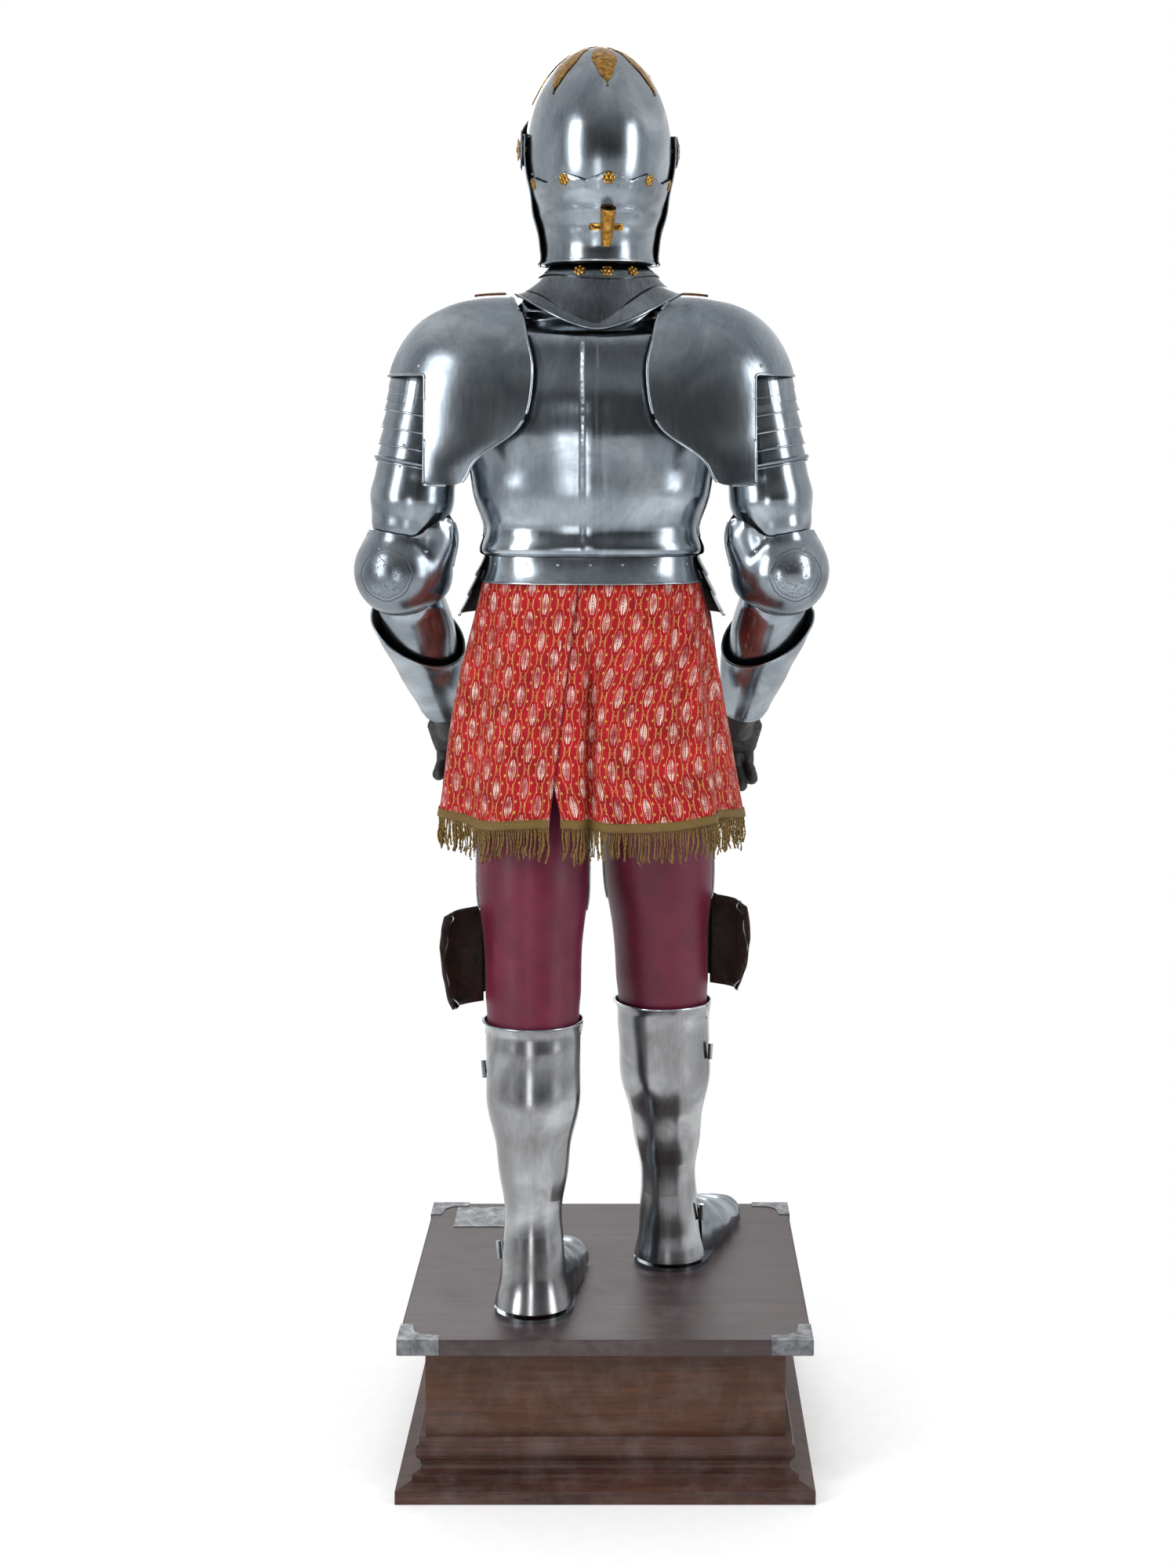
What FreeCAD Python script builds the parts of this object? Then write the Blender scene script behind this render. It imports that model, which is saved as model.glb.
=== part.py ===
import FreeCAD, Part
import math
import os

import Sketcher
from FreeCAD import Placement, Rotation, Vector

# A suit of plate armour that stands on a square wooden plinth.
# Millimetres, +Z up, origin at the centre of the plinth's underside, the suit's front faces -Y.
# The figure's own left side is +X. Heights of the figure are measured from the top of the plinth.

# Driving sizes
sizes = {
    # plinth
    "board_side": 560,
    "board_thickness": 21,
    "board_edge_radius": 3,
    "board_overhang": 34.5,
    "plinth_height": 223,
    "panel_thickness": 16,
    "bottom_thickness": 10,
    "moulding_height": 80,
    "moulding_run": 38.5,
    "bracket_leg": 57,
    "bracket_band": 17,
    "bracket_drop": 20,
    "bracket_gauge": 1.2,
    "nail_radius": 2.2,
    "nail_rise": 1.1,
    "name_plate_width": 79,
    "name_plate_depth": 90,
    "name_plate_gauge": 1.2,
    "name_plate_side_inset": 39,
    "name_plate_front_inset": 22,
    # general
    "gauge": 1.5,
    "lap_gap": 0.4,
    "plate_air": 0.8,
    "guard_air": 1.36,
    "socket_air": 1.04,
    "collar_air": 1.2,
    "seat_gap": 0.3,
    "lap": 7,
    "overrun": 5,
    "rivet_radius": 3.2,
    "rivet_rise": 1.6,
    # cuirass
    "figure_x": 22,
    "figure_y": 60,
    "waist_above_hip": 84,
    "torso_height": 413,
    "neck_x": -10,
    "chest_half_width": 188,
    "back_depth": 120,
    "breast_depth": 146,
    "back_ridge_rise": 3,
    "back_ridge_half_width": 11,
    "flange_drop": 36,
    "flange_flare": 12,
    "fauld_drop": 84,
    "fauld_flare": 34,
    "tasset_drop": 165,
    "tasset_flare": 26,
    "tasset_gap": 0.75,
    "cuisse_gap": 3,
    "strap_width": 26,
    "strap_thickness": 3,
    # helmet
    "helmet_yaw": 7.5,
    "neck_guard_height": 160,
    "dome_half_width": 103,
    "dome_front_reach": 147,
    "dome_rear_reach": 131,
    "dome_height": 144,
    "seam_drop": 62,
    "seam_point_rise": 12,
    "rim_half_width": 73,
    "rim_half_depth": 80,
    "rim_roll": 3,
    "face_plate_gap": 4.3,
    "visor_gap": 7.8,
    "visor_prow": 26,
    "visor_arm_half_height": 21,
    "sight_height": 5,
    "breath_hole_radius": 2.2,
    "breath_hole_inset": 24,
    "breath_hole_spacing": 11,
    "breath_row_drop": 22,
    "breath_row_spacing": 10,
    "pivot_flower_radius": 17,
    "pivot_flower_rise": 4,
    "pivot_pin_radius": 4,
    "star_tip_angle": 56,
    "star_gauge": 1.2,
    "star_petal_half_width": 19,
    "boss_radius": 12,
    "boss_rise": 4,
    "rosette_radius": 9,
    "rosette_rise": 2.2,
    "plume_length": 54,
    "plume_rise": 44,
    "plume_mouth_radius": 11,
    "plume_foot_radius": 7.5,
    "plume_bore_radius": 4.5,
    "plume_bore_depth": 46,
    "plume_tilt": 28,
    "plume_band_length": 51,
    "plume_band_height": 9,
    "plume_band_gauge": 1.6,
    # gorget
    "gorget_yaw": 10,
    "collar_radius": 66,
    "collar_height": 44,
    "collar_foot_gap": 7,
    "gorget_reach": 104,
    "gorget_rear_drop": 98,
    "gorget_side_drop": 38,
    # skirt
    "skirt_top_drop": 14,
    "skirt_length": 358,
    "skirt_hem_half_width": 208,
    "skirt_hem_half_depth": 152,
    "skirt_cloth": 3,
    "skirt_fold_depth": 9,
    "skirt_slit_top": 8,
    "skirt_slit_foot": 46,
    "fringe_length": 46,
    "fringe_thickness": 2.4,
    # frame inside
    "post_side": 40,
    "hip_block_rise": 6,
    "shoulder_bar_height": 40,
    "shoulder_peg_radius": 15,
    "head_stub_radius": 5,
    # legs
    "left_ankle_x": 80,
    "left_ankle_y": 94,
    "left_foot_yaw": 8,
    "right_ankle_x": -110,
    "right_ankle_y": -74,
    "right_foot_yaw": 20,
    "hip_x": 84,
    "hip_height": 965,
    "knee_height_share": 0.497409,
    "thigh_radius": 84,
    "greave_top_share": 0.412435,
    "greave_foot_gap": 12,
    "greave_calf_radius": 66,
    "ankle_height_share": 0.153368,
    "greave_ankle_radius": 40,
    "hinge_barrel_radius": 3.4,
    "hinge_barrel_length": 24,
    "hinge_tilt_air": 0.8,
    "poleyn_half_height": 66,
    "poleyn_wing_reach": 58,
    "cuisse_length_share": 0.217617,
    "poleyn_bulge": 12,
    "foot_length": 292,
    "foot_half_width": 49,
    "foot_height": 92,
    "sole_thickness": 6,
    # arms
    "shoulder_x": 227.635,
    "shoulder_drop": 163.909,
    "upper_arm_lean": 9.5,
    "upper_arm_length": 274.86,
    "arm_radius": 57,
    "arm_ring_distance": 150,
    "couter_radius": 66,
    "couter_side_angle": 80,
    "couter_wing_angle": 118,
    "couter_wing_lift": 9,
    "couter_wing_rise": 34,
    "elbow_rim_radius": 45,
    "forearm_length": 278,
    "forearm_radius": 50,
    "wrist_radius": 36,
    "cuff_length": 146,
    "cuff_slant": 46,
    "cuff_mouth_radius": 63,
    "pauldron_top_rise": 191,
    "pauldron_half_depth": 130,
    "pauldron_front_depth": 158,
    "pauldron_reach": 289,
    "pauldron_centre_drop": 235,
    "pauldron_notch_x": 228,
    "hand_length": 100,
    "wrist_ball_inset": 8,
    "cuff_inset": 10,
    "hand_radius": 30,
    "finger_radius": 9,
}

doc = FreeCAD.newDocument("SuitOfArmour")
sheet = doc.addObject("Spreadsheet::Sheet", "Sizes")
for number, (alias, value) in enumerate(sizes.items(), start=1):
    sheet.set(f"A{number}", alias)
    sheet.set(f"B{number}", str(value))
    sheet.setAlias(f"B{number}", alias)
doc.recompute()


class Sizes:
    pass


size = Sizes()
for alias in sizes:
    setattr(size, alias, float(sheet.get(alias)))

nodes = []
left_and_right = (("left", 1), ("right", -1))

# Levels and axes worked out from the driving sizes
waist_height = size.hip_height + size.waist_above_hip
knee_height = size.knee_height_share * size.hip_height
greave_top = size.greave_top_share * size.hip_height
neck_height = waist_height + size.torso_height
pivot_height = neck_height + size.neck_guard_height
figure_base = Placement(Vector(size.figure_x, size.figure_y, size.plinth_height), Rotation())
neck_axis = Vector(size.neck_x, 0, 0)


def turned_about_neck(yaw, height):
    return figure_base * Placement(neck_axis + Vector(0, 0, height), Rotation(Vector(0, 0, 1), yaw))


helmet_base = turned_about_neck(size.helmet_yaw, pivot_height)
gorget_base = turned_about_neck(size.gorget_yaw, neck_height)


# Small helpers for directions and curves
def polar(radius, angle, height=0.0):
    turn = math.radians(angle)
    return Vector(radius * math.cos(turn), radius * math.sin(turn), height)


def spread(start, end, count):
    return [start + (end - start) * step / (count - 1) for step in range(count)]


def smooth(low, high, value):
    share = min(1.0, max(0.0, (value - low) / (high - low)))
    return share * share * (3 - 2 * share)


def along(table, position):
    """Value of a table of (position, value) pairs, eased between its entries."""
    if position <= table[0][0]:
        return table[0][1]
    for (low, low_value), (high, high_value) in zip(table, table[1:]):
        if position <= high:
            return low_value + (high_value - low_value) * smooth(low, high, position)
    return table[-1][1]


def oval(half_width, front_depth, rear_depth, angle, power_share=1.0):
    """Point of an egg shape whose front half and rear half differ; 90 degrees is the rear."""
    turn = math.radians(angle)
    across = math.cos(turn)
    deep = math.sin(turn)
    depth = rear_depth if deep >= 0 else front_depth
    x = half_width * math.copysign(abs(across) ** power_share, across)
    y = depth * math.copysign(abs(deep) ** power_share, deep)
    return Vector(x, y, 0)


# A plate is a closed solid between a surface through a grid of points and its inner offset
def surface_through(grid):
    surface = Part.BSplineSurface()
    surface.interpolate(grid)
    return surface


def plate(grid, gauge, inside):
    last_row = len(grid) - 1
    last_column = len(grid[0]) - 1

    def normal(row, column):
        up = grid[min(row + 1, last_row)][column] - grid[max(row - 1, 0)][column]
        over = grid[row][min(column + 1, last_column)] - grid[row][max(column - 1, 0)]
        return up.cross(over).normalize()

    rows = range(last_row + 1)
    columns = range(last_column + 1)
    normals = [[normal(row, column) for column in columns] for row in rows]
    outwardness = sum(
        normals[row][column].dot(grid[row][column] - inside) for row in rows for column in columns
    )
    inset = -gauge if outwardness > 0 else gauge
    inner_grid = [
        [grid[row][column] + normals[row][column] * inset for column in columns] for row in rows
    ]
    outer = surface_through(grid)
    inner = surface_through(inner_grid)
    outer_ends = outer.bounds()
    inner_ends = inner.bounds()
    faces = [outer.toShape(), inner.toShape()]
    for end in (0, 1):
        faces.append(
            Part.makeRuledSurface(
                outer.uIso(outer_ends[end]).toShape(), inner.uIso(inner_ends[end]).toShape()
            )
        )
        faces.append(
            Part.makeRuledSurface(
                outer.vIso(outer_ends[end + 2]).toShape(), inner.vIso(inner_ends[end + 2]).toShape()
            )
        )
    skin = Part.Compound(faces)
    skin.sewShape()
    solid = Part.Solid(skin.Shells[0])
    if solid.Volume < 0:
        solid.reverse()
    return solid


def add_node(label, shapes, base):
    """One named piece of the suit whose form is set from plates or other plain solids."""
    node = doc.addObject("Part::Feature", label)
    node.Shape = shapes[0] if len(shapes) == 1 else Part.Compound(shapes)
    node.Placement = base
    nodes.append(node)
    return node


def dome_stud(centre, direction, radius, rise):
    """Domed head that sits with its flat side at a point of a surface."""
    direction = Vector(direction).normalize()
    ball = (radius * radius + rise * rise) / (2 * rise)
    base_angle = math.degrees(math.asin((ball - rise) / ball))
    return Part.makeSphere(ball, centre - direction * (ball - rise), direction, base_angle, 90, 360)


def placed(shape, origin, direction, roll=0.0):
    """Copy of a shape with its own +Z turned to a direction."""
    turn = Rotation(Vector(0, 0, 1), Vector(direction)) * Rotation(Vector(0, 0, 1), roll)
    copy = shape.copy()
    copy.Placement = Placement(origin, turn)
    return copy


# Parametric bodies
def bind(item, formulas):
    for name, formula in formulas.items():
        item.setExpression(name, formula)


def new_body(label, keep=True):
    body = doc.addObject("PartDesign::Body", label)
    if keep:
        nodes.append(body)
    return body


def sketch_on(body, name, role="XY_Plane"):
    sketch = body.newObject("Sketcher::SketchObject", name)
    plane = next(item for item in body.Origin.OriginFeatures if item.Role == role)
    sketch.AttachmentSupport = [(plane, "")]
    sketch.MapMode = "FlatFace"
    return sketch


def draw_outline(sketch, corners):
    """Closed outline of straight lines whose corners follow formulas of the sheet."""
    count = len(corners)
    values = [Vector(x_value, y_value, 0) for _, x_value, _, y_value in corners]
    for index in range(count):
        sketch.addGeometry(Part.LineSegment(values[index], values[(index + 1) % count]))
    for index in range(count):
        following = (index + 1) % count
        sketch.addConstraint(Sketcher.Constraint("Coincident", index, 2, following, 1))
    for index, (x_formula, x_value, y_formula, y_value) in enumerate(corners):
        if x_value == 0:
            sketch.addConstraint(Sketcher.Constraint("PointOnObject", index, 1, -2))
        else:
            number = sketch.addConstraint(Sketcher.Constraint("DistanceX", -1, 1, index, 1, x_value))
            sketch.setExpression(f"Constraints[{number}]", x_formula)
        if y_value == 0:
            sketch.addConstraint(Sketcher.Constraint("PointOnObject", index, 1, -1))
        else:
            number = sketch.addConstraint(Sketcher.Constraint("DistanceY", -1, 1, index, 1, y_value))
            sketch.setExpression(f"Constraints[{number}]", y_formula)


def draw_rectangle(sketch, width, width_value, depth, depth_value):
    """Rectangle centred on the sketch's origin."""
    half_x = width_value / 2
    half_y = depth_value / 2
    corners = []
    for x_sign, y_sign in ((1, 1), (-1, 1), (-1, -1), (1, -1)):
        x_formula = f"{x_sign} * ({width}) / 2"
        y_formula = f"{y_sign} * ({depth}) / 2"
        corners.append((x_formula, x_sign * half_x, y_formula, y_sign * half_y))
    draw_outline(sketch, corners)


def pad_sketch(body, sketch, name, formula, reversed_way=False, symmetric=False):
    pad = body.newObject("PartDesign::Pad", name)
    pad.Profile = sketch
    pad.Reversed = reversed_way
    if symmetric:
        pad.SideType = "Symmetric"
    pad.setExpression("Length", formula)
    sketch.Visibility = False
    return pad


def bound_box(name, label, width, depth, height, x_middle, y_middle, bottom):
    box = doc.addObject("Part::Box", name)
    box.Label = label
    bind(
        box,
        {
            "Length": width,
            "Width": depth,
            "Height": height,
            "Placement.Base.x": f"{x_middle} - ({width}) / 2",
            "Placement.Base.y": f"{y_middle} - ({depth}) / 2",
            "Placement.Base.z": bottom,
        },
    )
    return box


def gather(label, parts):
    group = doc.addObject("Part::Compound", label)
    group.Links = parts
    nodes.append(group)
    return group


# Plinth: a closed box of four panels and a bottom board under an overhanging top board
box_half = size.board_side / 2 - size.board_overhang
box_side_formula = "(Sizes.board_side - 2 * Sizes.board_overhang)"
board_underside = size.plinth_height - size.board_thickness

top_board = new_body("plinth_top_board")
top_sketch = sketch_on(top_board, "TopBoardOutline")
draw_rectangle(top_sketch, "Sizes.board_side", size.board_side, "Sizes.board_side", size.board_side)
top_pad = pad_sketch(top_board, top_sketch, "TopBoardPad", "Sizes.board_thickness")
doc.recompute()
rounding = top_board.newObject("PartDesign::Fillet", "TopBoardRounding")
upper_edges = [
    f"Edge{index}"
    for index, edge in enumerate(top_pad.Shape.Edges, start=1)
    if edge.BoundBox.ZMin > size.board_thickness / 2
]
rounding.Base = (top_pad, upper_edges)
rounding.setExpression("Radius", "Sizes.board_edge_radius")
top_board.setExpression("Placement.Base.z", "Sizes.plinth_height - Sizes.board_thickness")

bottom_board = bound_box(
    "BottomBoard",
    "plinth_bottom_board",
    f"{box_side_formula} - 2 * Sizes.panel_thickness",
    f"{box_side_formula} - 2 * Sizes.panel_thickness",
    "Sizes.bottom_thickness",
    "0",
    "0",
    "0",
)
nodes.append(bottom_board)

panel_reach = f"({box_side_formula} - Sizes.panel_thickness) / 2"
panel_height = "Sizes.plinth_height - Sizes.board_thickness"
inner_length = f"{box_side_formula} - 2 * Sizes.panel_thickness"
panels = []
for name, sign in (("Left", 1), ("Right", -1)):
    panels.append(
        bound_box(
            f"Panel{name}", f"panel_{name}", "Sizes.panel_thickness", box_side_formula,
            panel_height, f"{sign} * {panel_reach}", "0", "0",
        )
    )
for name, sign in (("Rear", 1), ("Front", -1)):
    panels.append(
        bound_box(
            f"Panel{name}", f"panel_{name}", inner_length, "Sizes.panel_thickness",
            panel_height, "0", f"{sign} * {panel_reach}", "0",
        )
    )
gather("plinth_side_panels", panels)

# Base moulding: four lengths with mitred ends, outline in shares of the run and the height
moulding_outline_shares = [
    (0, 0), (1, 0), (1, 0.22), (0.45, 0.31), (0.45, 0.4), (0.17, 0.44), (0.14, 0.5), (0.17, 0.58),
    (0.27, 0.64), (0.32, 0.7), (0.33, 0.78), (0.3, 0.86), (0.22, 0.9), (0.22, 1), (0, 1),
]
box_half_formula = f"{box_side_formula} / 2"
moulding_reach = box_half + size.moulding_run
lengths = []
for turn_number, name in enumerate(("Left", "Rear", "Right", "Front")):
    length = new_body(f"Moulding{name}", keep=False)
    outline = sketch_on(length, f"Moulding{name}Outline", "XZ_Plane")
    draw_outline(
        outline,
        [
            (
                f"{box_half_formula} + Sizes.moulding_run * {run_share}",
                box_half + size.moulding_run * run_share,
                f"Sizes.moulding_height * {rise_share}",
                size.moulding_height * rise_share,
            )
            for run_share, rise_share in moulding_outline_shares
        ],
    )
    run_pad = pad_sketch(
        length, outline, f"Moulding{name}Pad", f"2 * ({box_half_formula} + Sizes.moulding_run)",
        symmetric=True,
    )
    for end_name, sign in (("RearEnd", 1), ("FrontEnd", -1)):
        mitre = sketch_on(length, f"Moulding{name}{end_name}", "XY_Plane")
        outer = f"({box_half_formula} + Sizes.moulding_run + Sizes.overrun)"
        outer_value = moulding_reach + size.overrun
        inner = f"({box_half_formula} - Sizes.overrun)"
        inner_value = box_half - size.overrun
        draw_outline(
            mitre,
            [
                (inner, inner_value, f"{sign} * {inner}", sign * inner_value),
                (outer, outer_value, f"{sign} * {outer}", sign * outer_value),
                (inner, inner_value, f"{sign} * {outer}", sign * outer_value),
            ],
        )
        cut = length.newObject("PartDesign::Pocket", f"Moulding{name}{end_name}Cut")
        cut.Profile = mitre
        cut.Reversed = True
        cut.setExpression("Length", "Sizes.moulding_height + Sizes.overrun")
    length.Placement = Placement(Vector(0, 0, 0), Rotation(Vector(0, 0, 1), 90 * turn_number))
    lengths.append(length)
gather("plinth_moulding", lengths)

# Corner brackets: an angled top leaf with two leaves folded down over the board's edges
corner = "(Sizes.board_side / 2 + Sizes.bracket_gauge)"
corner_value = size.board_side / 2 + size.bracket_gauge
edge_line = "Sizes.board_side / 2"
leg_end = f"({corner} - Sizes.bracket_leg)"
leg_end_value = corner_value - size.bracket_leg
band = f"({corner} - Sizes.bracket_band)"
band_value = corner_value - size.bracket_band
brackets = []
nails = []
for turn_number in range(4):
    bracket = new_body(f"CornerBracket{turn_number}", keep=False)
    leaf_sketch = sketch_on(bracket, f"BracketLeaf{turn_number}")
    bend = f"({corner} - 0.55 * Sizes.bracket_leg)"
    bend_value = corner_value - 0.55 * size.bracket_leg
    inner_bend = f"({band} - 0.2 * Sizes.bracket_band)"
    inner_bend_value = band_value - 0.2 * size.bracket_band
    draw_outline(
        leaf_sketch,
        [
            (corner, corner_value, corner, corner_value),
            (leg_end, leg_end_value, corner, corner_value),
            (leg_end, leg_end_value, band, band_value),
            (bend, bend_value, inner_bend, inner_bend_value),
            (inner_bend, inner_bend_value, bend, bend_value),
            (band, band_value, leg_end, leg_end_value),
            (corner, corner_value, leg_end, leg_end_value),
        ],
    )
    pad_sketch(bracket, leaf_sketch, f"BracketLeafPad{turn_number}", "Sizes.bracket_gauge")
    side_sketch = sketch_on(bracket, f"BracketSides{turn_number}")
    half_side = size.board_side / 2
    draw_outline(
        side_sketch,
        [
            (corner, corner_value, corner, corner_value),
            (leg_end, leg_end_value, corner, corner_value),
            (leg_end, leg_end_value, edge_line, half_side),
            (edge_line, half_side, edge_line, half_side),
            (edge_line, half_side, leg_end, leg_end_value),
            (corner, corner_value, leg_end, leg_end_value),
        ],
    )
    pad_sketch(
        bracket, side_sketch, f"BracketSidesPad{turn_number}", "Sizes.bracket_drop", reversed_way=True
    )
    quarter = Rotation(Vector(0, 0, 1), 90 * turn_number)
    bracket.Placement = Placement(Vector(0, 0, size.plinth_height), quarter)
    brackets.append(bracket)
    for along_side in (size.bracket_leg * 0.3, size.bracket_leg * 0.8):
        spot = Vector(
            corner_value - along_side,
            corner_value,
            size.plinth_height - size.bracket_drop / 2,
        )
        nails.append(dome_stud(quarter.multVec(spot), quarter.multVec(Vector(0, 1, 0)),
                               size.nail_radius, size.nail_rise))
        spot = Vector(spot.y, spot.x, spot.z)
        nails.append(dome_stud(quarter.multVec(spot), quarter.multVec(Vector(1, 0, 0)),
                               size.nail_radius, size.nail_rise))
nail_heads = doc.addObject("Part::Feature", "BracketNails")
nail_heads.Shape = Part.Compound(nails)
gather("corner_brackets", brackets + [nail_heads])

# Blank name plate near the front left corner of the top board
name_plate = new_body("name_plate")
name_sketch = sketch_on(name_plate, "NamePlateOutline")
draw_rectangle(
    name_sketch, "Sizes.name_plate_width", size.name_plate_width,
    "Sizes.name_plate_depth", size.name_plate_depth,
)
pad_sketch(name_plate, name_sketch, "NamePlatePad", "Sizes.name_plate_gauge")
bind(
    name_plate,
    {
        "Placement.Base.x": f"{edge_line} - Sizes.name_plate_width / 2 - Sizes.name_plate_side_inset",
        "Placement.Base.y": f"Sizes.name_plate_depth / 2 + Sizes.name_plate_front_inset - {edge_line}",
        "Placement.Base.z": "Sizes.plinth_height",
    },
)

# Cuirass: level, half-width, rear depth, front depth and half-span of the back, as shares
torso_shares = [
    # height, half width, rear depth, front depth, span of the back plate's half
    (0.0, 0.782, 0.733, 0.66, 0.92),
    (0.1, 0.815, 0.81, 0.82, 0.92),
    (0.26, 0.9, 0.93, 0.97, 0.9),
    (0.43, 1.0, 1.0, 1.0, 0.68),
    (0.55, 0.99, 0.99, 0.97, 0.56),
    (0.67, 0.93, 0.9, 0.82, 0.5),
    (0.77, 0.8, 0.75, 0.6, 0.5),
    (0.83, 0.68, 0.6, 0.42, 0.52),
]
torso_power_share = 0.85


def torso_level(share):
    """Half-width, rear depth, front depth and span at a share of the torso's height."""
    values = []
    for column in (1, 2, 3, 4):
        values.append(along([(row[0], row[column]) for row in torso_shares], share))
    half_width = values[0] * size.chest_half_width
    return half_width, values[1] * size.back_depth, values[2] * size.breast_depth, values[3]


def torso_point(share, angle, lift=0.0):
    half_width, rear, front, _ = torso_level(share)
    point = oval(half_width + lift, front + lift, rear + lift, angle, torso_power_share)
    point.z = waist_height + share * size.torso_height
    return point


def back_point(share, angle):
    nearness = abs(90 - angle) / 90
    across = torso_point(share, angle).x / size.back_ridge_half_width
    fade = smooth(0.0, 0.1, share) * (1 - smooth(0.7, 0.83, share))
    ridge = size.back_ridge_rise * math.exp(-(across ** 4)) * fade if nearness < 0.5 else 0
    return torso_point(share, angle, ridge)


def span_angles(middle, half_span, count):
    return [middle + half_span * (0.3 * step + 0.7 * step ** 3) for step in spread(-1, 1, count)]


torso_heart = Vector(0, 0, waist_height + size.torso_height / 2)
torso_rows_shares = spread(0.0, torso_shares[-1][0], 13)
back_grid = [
    [back_point(share, angle) for angle in span_angles(90, 90 * torso_level(share)[3], 33)]
    for share in torso_rows_shares
]
add_node("backplate", [plate(back_grid, size.gauge, torso_heart)], figure_base)

breast_lift = size.gauge + size.lap_gap
front_span_share = 1.03


def keel(share, angle):
    """Raised line down the middle of the breastplate."""
    closeness = max(0.0, 1 - abs(angle + 90) / 28)
    fade = smooth(0, 0.12, share) * (1 - smooth(0.55, 0.83, share))
    return 0.05 * size.breast_depth * closeness ** 2 * fade


breast_grid = []
for share in torso_rows_shares:
    span = torso_level(share)[3] / torso_shares[0][4] * front_span_share
    breast_grid.append(
        [
            torso_point(share, angle, breast_lift + keel(share, angle))
            for angle in span_angles(-90, 90 * span, 33)
        ]
    )
add_node("breastplate", [plate(breast_grid, size.gauge, torso_heart)], figure_base)

# Flared waist flange that sits round the lower edge of the backplate
waist_half, waist_rear, waist_front, _ = torso_level(0.0)


def waist_oval(angle, lift, drop):
    point = oval(waist_half + lift, waist_front + lift, waist_rear + lift, angle, torso_power_share)
    point.z = waist_height - drop
    return point


flange_angles = spread(8, 172, 25)
flange_grid = []
for share in spread(0.0, 1.0, 6):
    lift = size.gauge + size.lap_gap + (size.flange_flare - size.gauge) * share ** 1.6
    drop = size.flange_drop * share
    flange_grid.append([waist_oval(angle, lift, drop) for angle in flange_angles])
waist_heart = Vector(0, 0, waist_height)
add_node("backplate_flange", [plate(flange_grid, size.gauge, waist_heart)], figure_base)

# Fauld: three flared hoops round the front and the hips
fauld_hoops = 3
hoop_lift = size.gauge + 2 * size.lap_gap


def hoop_grid(number, count, base, tuck, angles, rows=7):
    """Grid of one hoop; its top is tucked inside the hoop above it."""
    grid = []
    for share in spread(0.0, 1.0, rows):
        position = (number + share) / count
        if number > 0:
            position -= tuck * (1 - share)
        stand_off = hoop_lift * smooth(0.25, 1.0, share)
        grid.append([base(position, angle, stand_off) for angle in angles])
    return grid


def fauld_point(position, angle, lift):
    flare = 2 * hoop_lift + 2 * size.plate_air + size.fauld_flare * position
    return waist_oval(angle, flare + lift, size.fauld_drop * position)


fauld_angles = spread(-192, 12, 31)
fauld_solids = [
    plate(
        hoop_grid(number, fauld_hoops, fauld_point, size.lap / size.fauld_drop, fauld_angles),
        size.gauge, waist_heart,
    )
    for number in range(fauld_hoops)
]
add_node("fauld", fauld_solids, figure_base)

# Tassets: two thigh plates that hang under the fauld
tasset_middle = 52
tasset_half_span = 24


def tasset_point(position, angle, lift):
    flare = 3 * hoop_lift + 2 * size.plate_air + size.fauld_flare + size.tasset_flare * position
    drop = size.fauld_drop + size.tasset_gap + size.tasset_drop * position
    return waist_oval(angle, flare + lift, drop)


for name, sign in left_and_right:
    middle = -90 + sign * (90 - tasset_middle)
    tasset_grid = []
    for position in spread(0.0, 1.0, 9):
        half_span = tasset_half_span * (1 - 0.25 * position ** 3)
        angles = spread(middle - half_span, middle + half_span, 11)
        tasset_grid.append([tasset_point(position, angle, 0) for angle in angles])
    add_node(f"{name}_tasset", [plate(tasset_grid, size.gauge, waist_heart)], figure_base)

# Gorget: a close collar and three lames that spread over the shoulders and down the back
collar_lift = size.gauge + size.lap_gap


def gorget_point(position, angle, lift):
    """Collar below the helmet's rim, spreading to the shoulders, the chest and the back."""
    down = max(0.0, -math.sin(math.radians(angle)), math.sin(math.radians(angle)))
    reach = size.gorget_reach * (1 - 0.08 * down)
    radius = size.collar_radius + (reach - size.collar_radius) * position ** 1.15
    drop = size.gorget_side_drop + (size.gorget_rear_drop - size.gorget_side_drop) * down ** 3
    height = -size.collar_foot_gap - drop * position ** (1 + down)
    return polar(radius + 0.6 * lift, angle, height + 0.8 * lift)


def collar_grid():
    grid = []
    for share in spread(0.0, 1.0, 6):
        height = size.collar_height * (1 - share) - size.collar_foot_gap
        radius = size.collar_radius + size.collar_air - 2 * collar_lift * (1 - share)
        grid.append([polar(radius, angle, height) for angle in gorget_angles])
    return grid


def raised_gorget_point(position, angle, lift):
    return gorget_point(position, angle, lift + 2 * collar_lift + size.plate_air)


gorget_angles = spread(-89, 269, 49)
gorget_heart = Vector(0, 0, -size.gorget_rear_drop)
gorget_names = ("gorget_middle_lame", "gorget_lower_lame")
top_grid = collar_grid()
add_node("gorget_top_lame", [plate(top_grid, size.gauge, gorget_heart)], gorget_base)
for number, label in enumerate(gorget_names):
    grid = hoop_grid(number, len(gorget_names), raised_gorget_point, 0.09, gorget_angles, rows=7)
    add_node(label, [plate(grid, size.gauge, gorget_heart)], gorget_base)

# Helmet, in a frame whose origin is the turning axis at the height of the visor's pivots
def dome_point(direction, lift=0.0):
    """Point of the dome in a direction; the front half reaches further than the rear half."""
    reach = size.dome_front_reach if direction.y < 0 else size.dome_rear_reach
    across = direction.x / (size.dome_half_width + lift)
    deep = direction.y / (reach + lift)
    high = direction.z / (size.dome_height + lift)
    return direction * (1 / math.sqrt(across * across + deep * deep + high * high))


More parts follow.
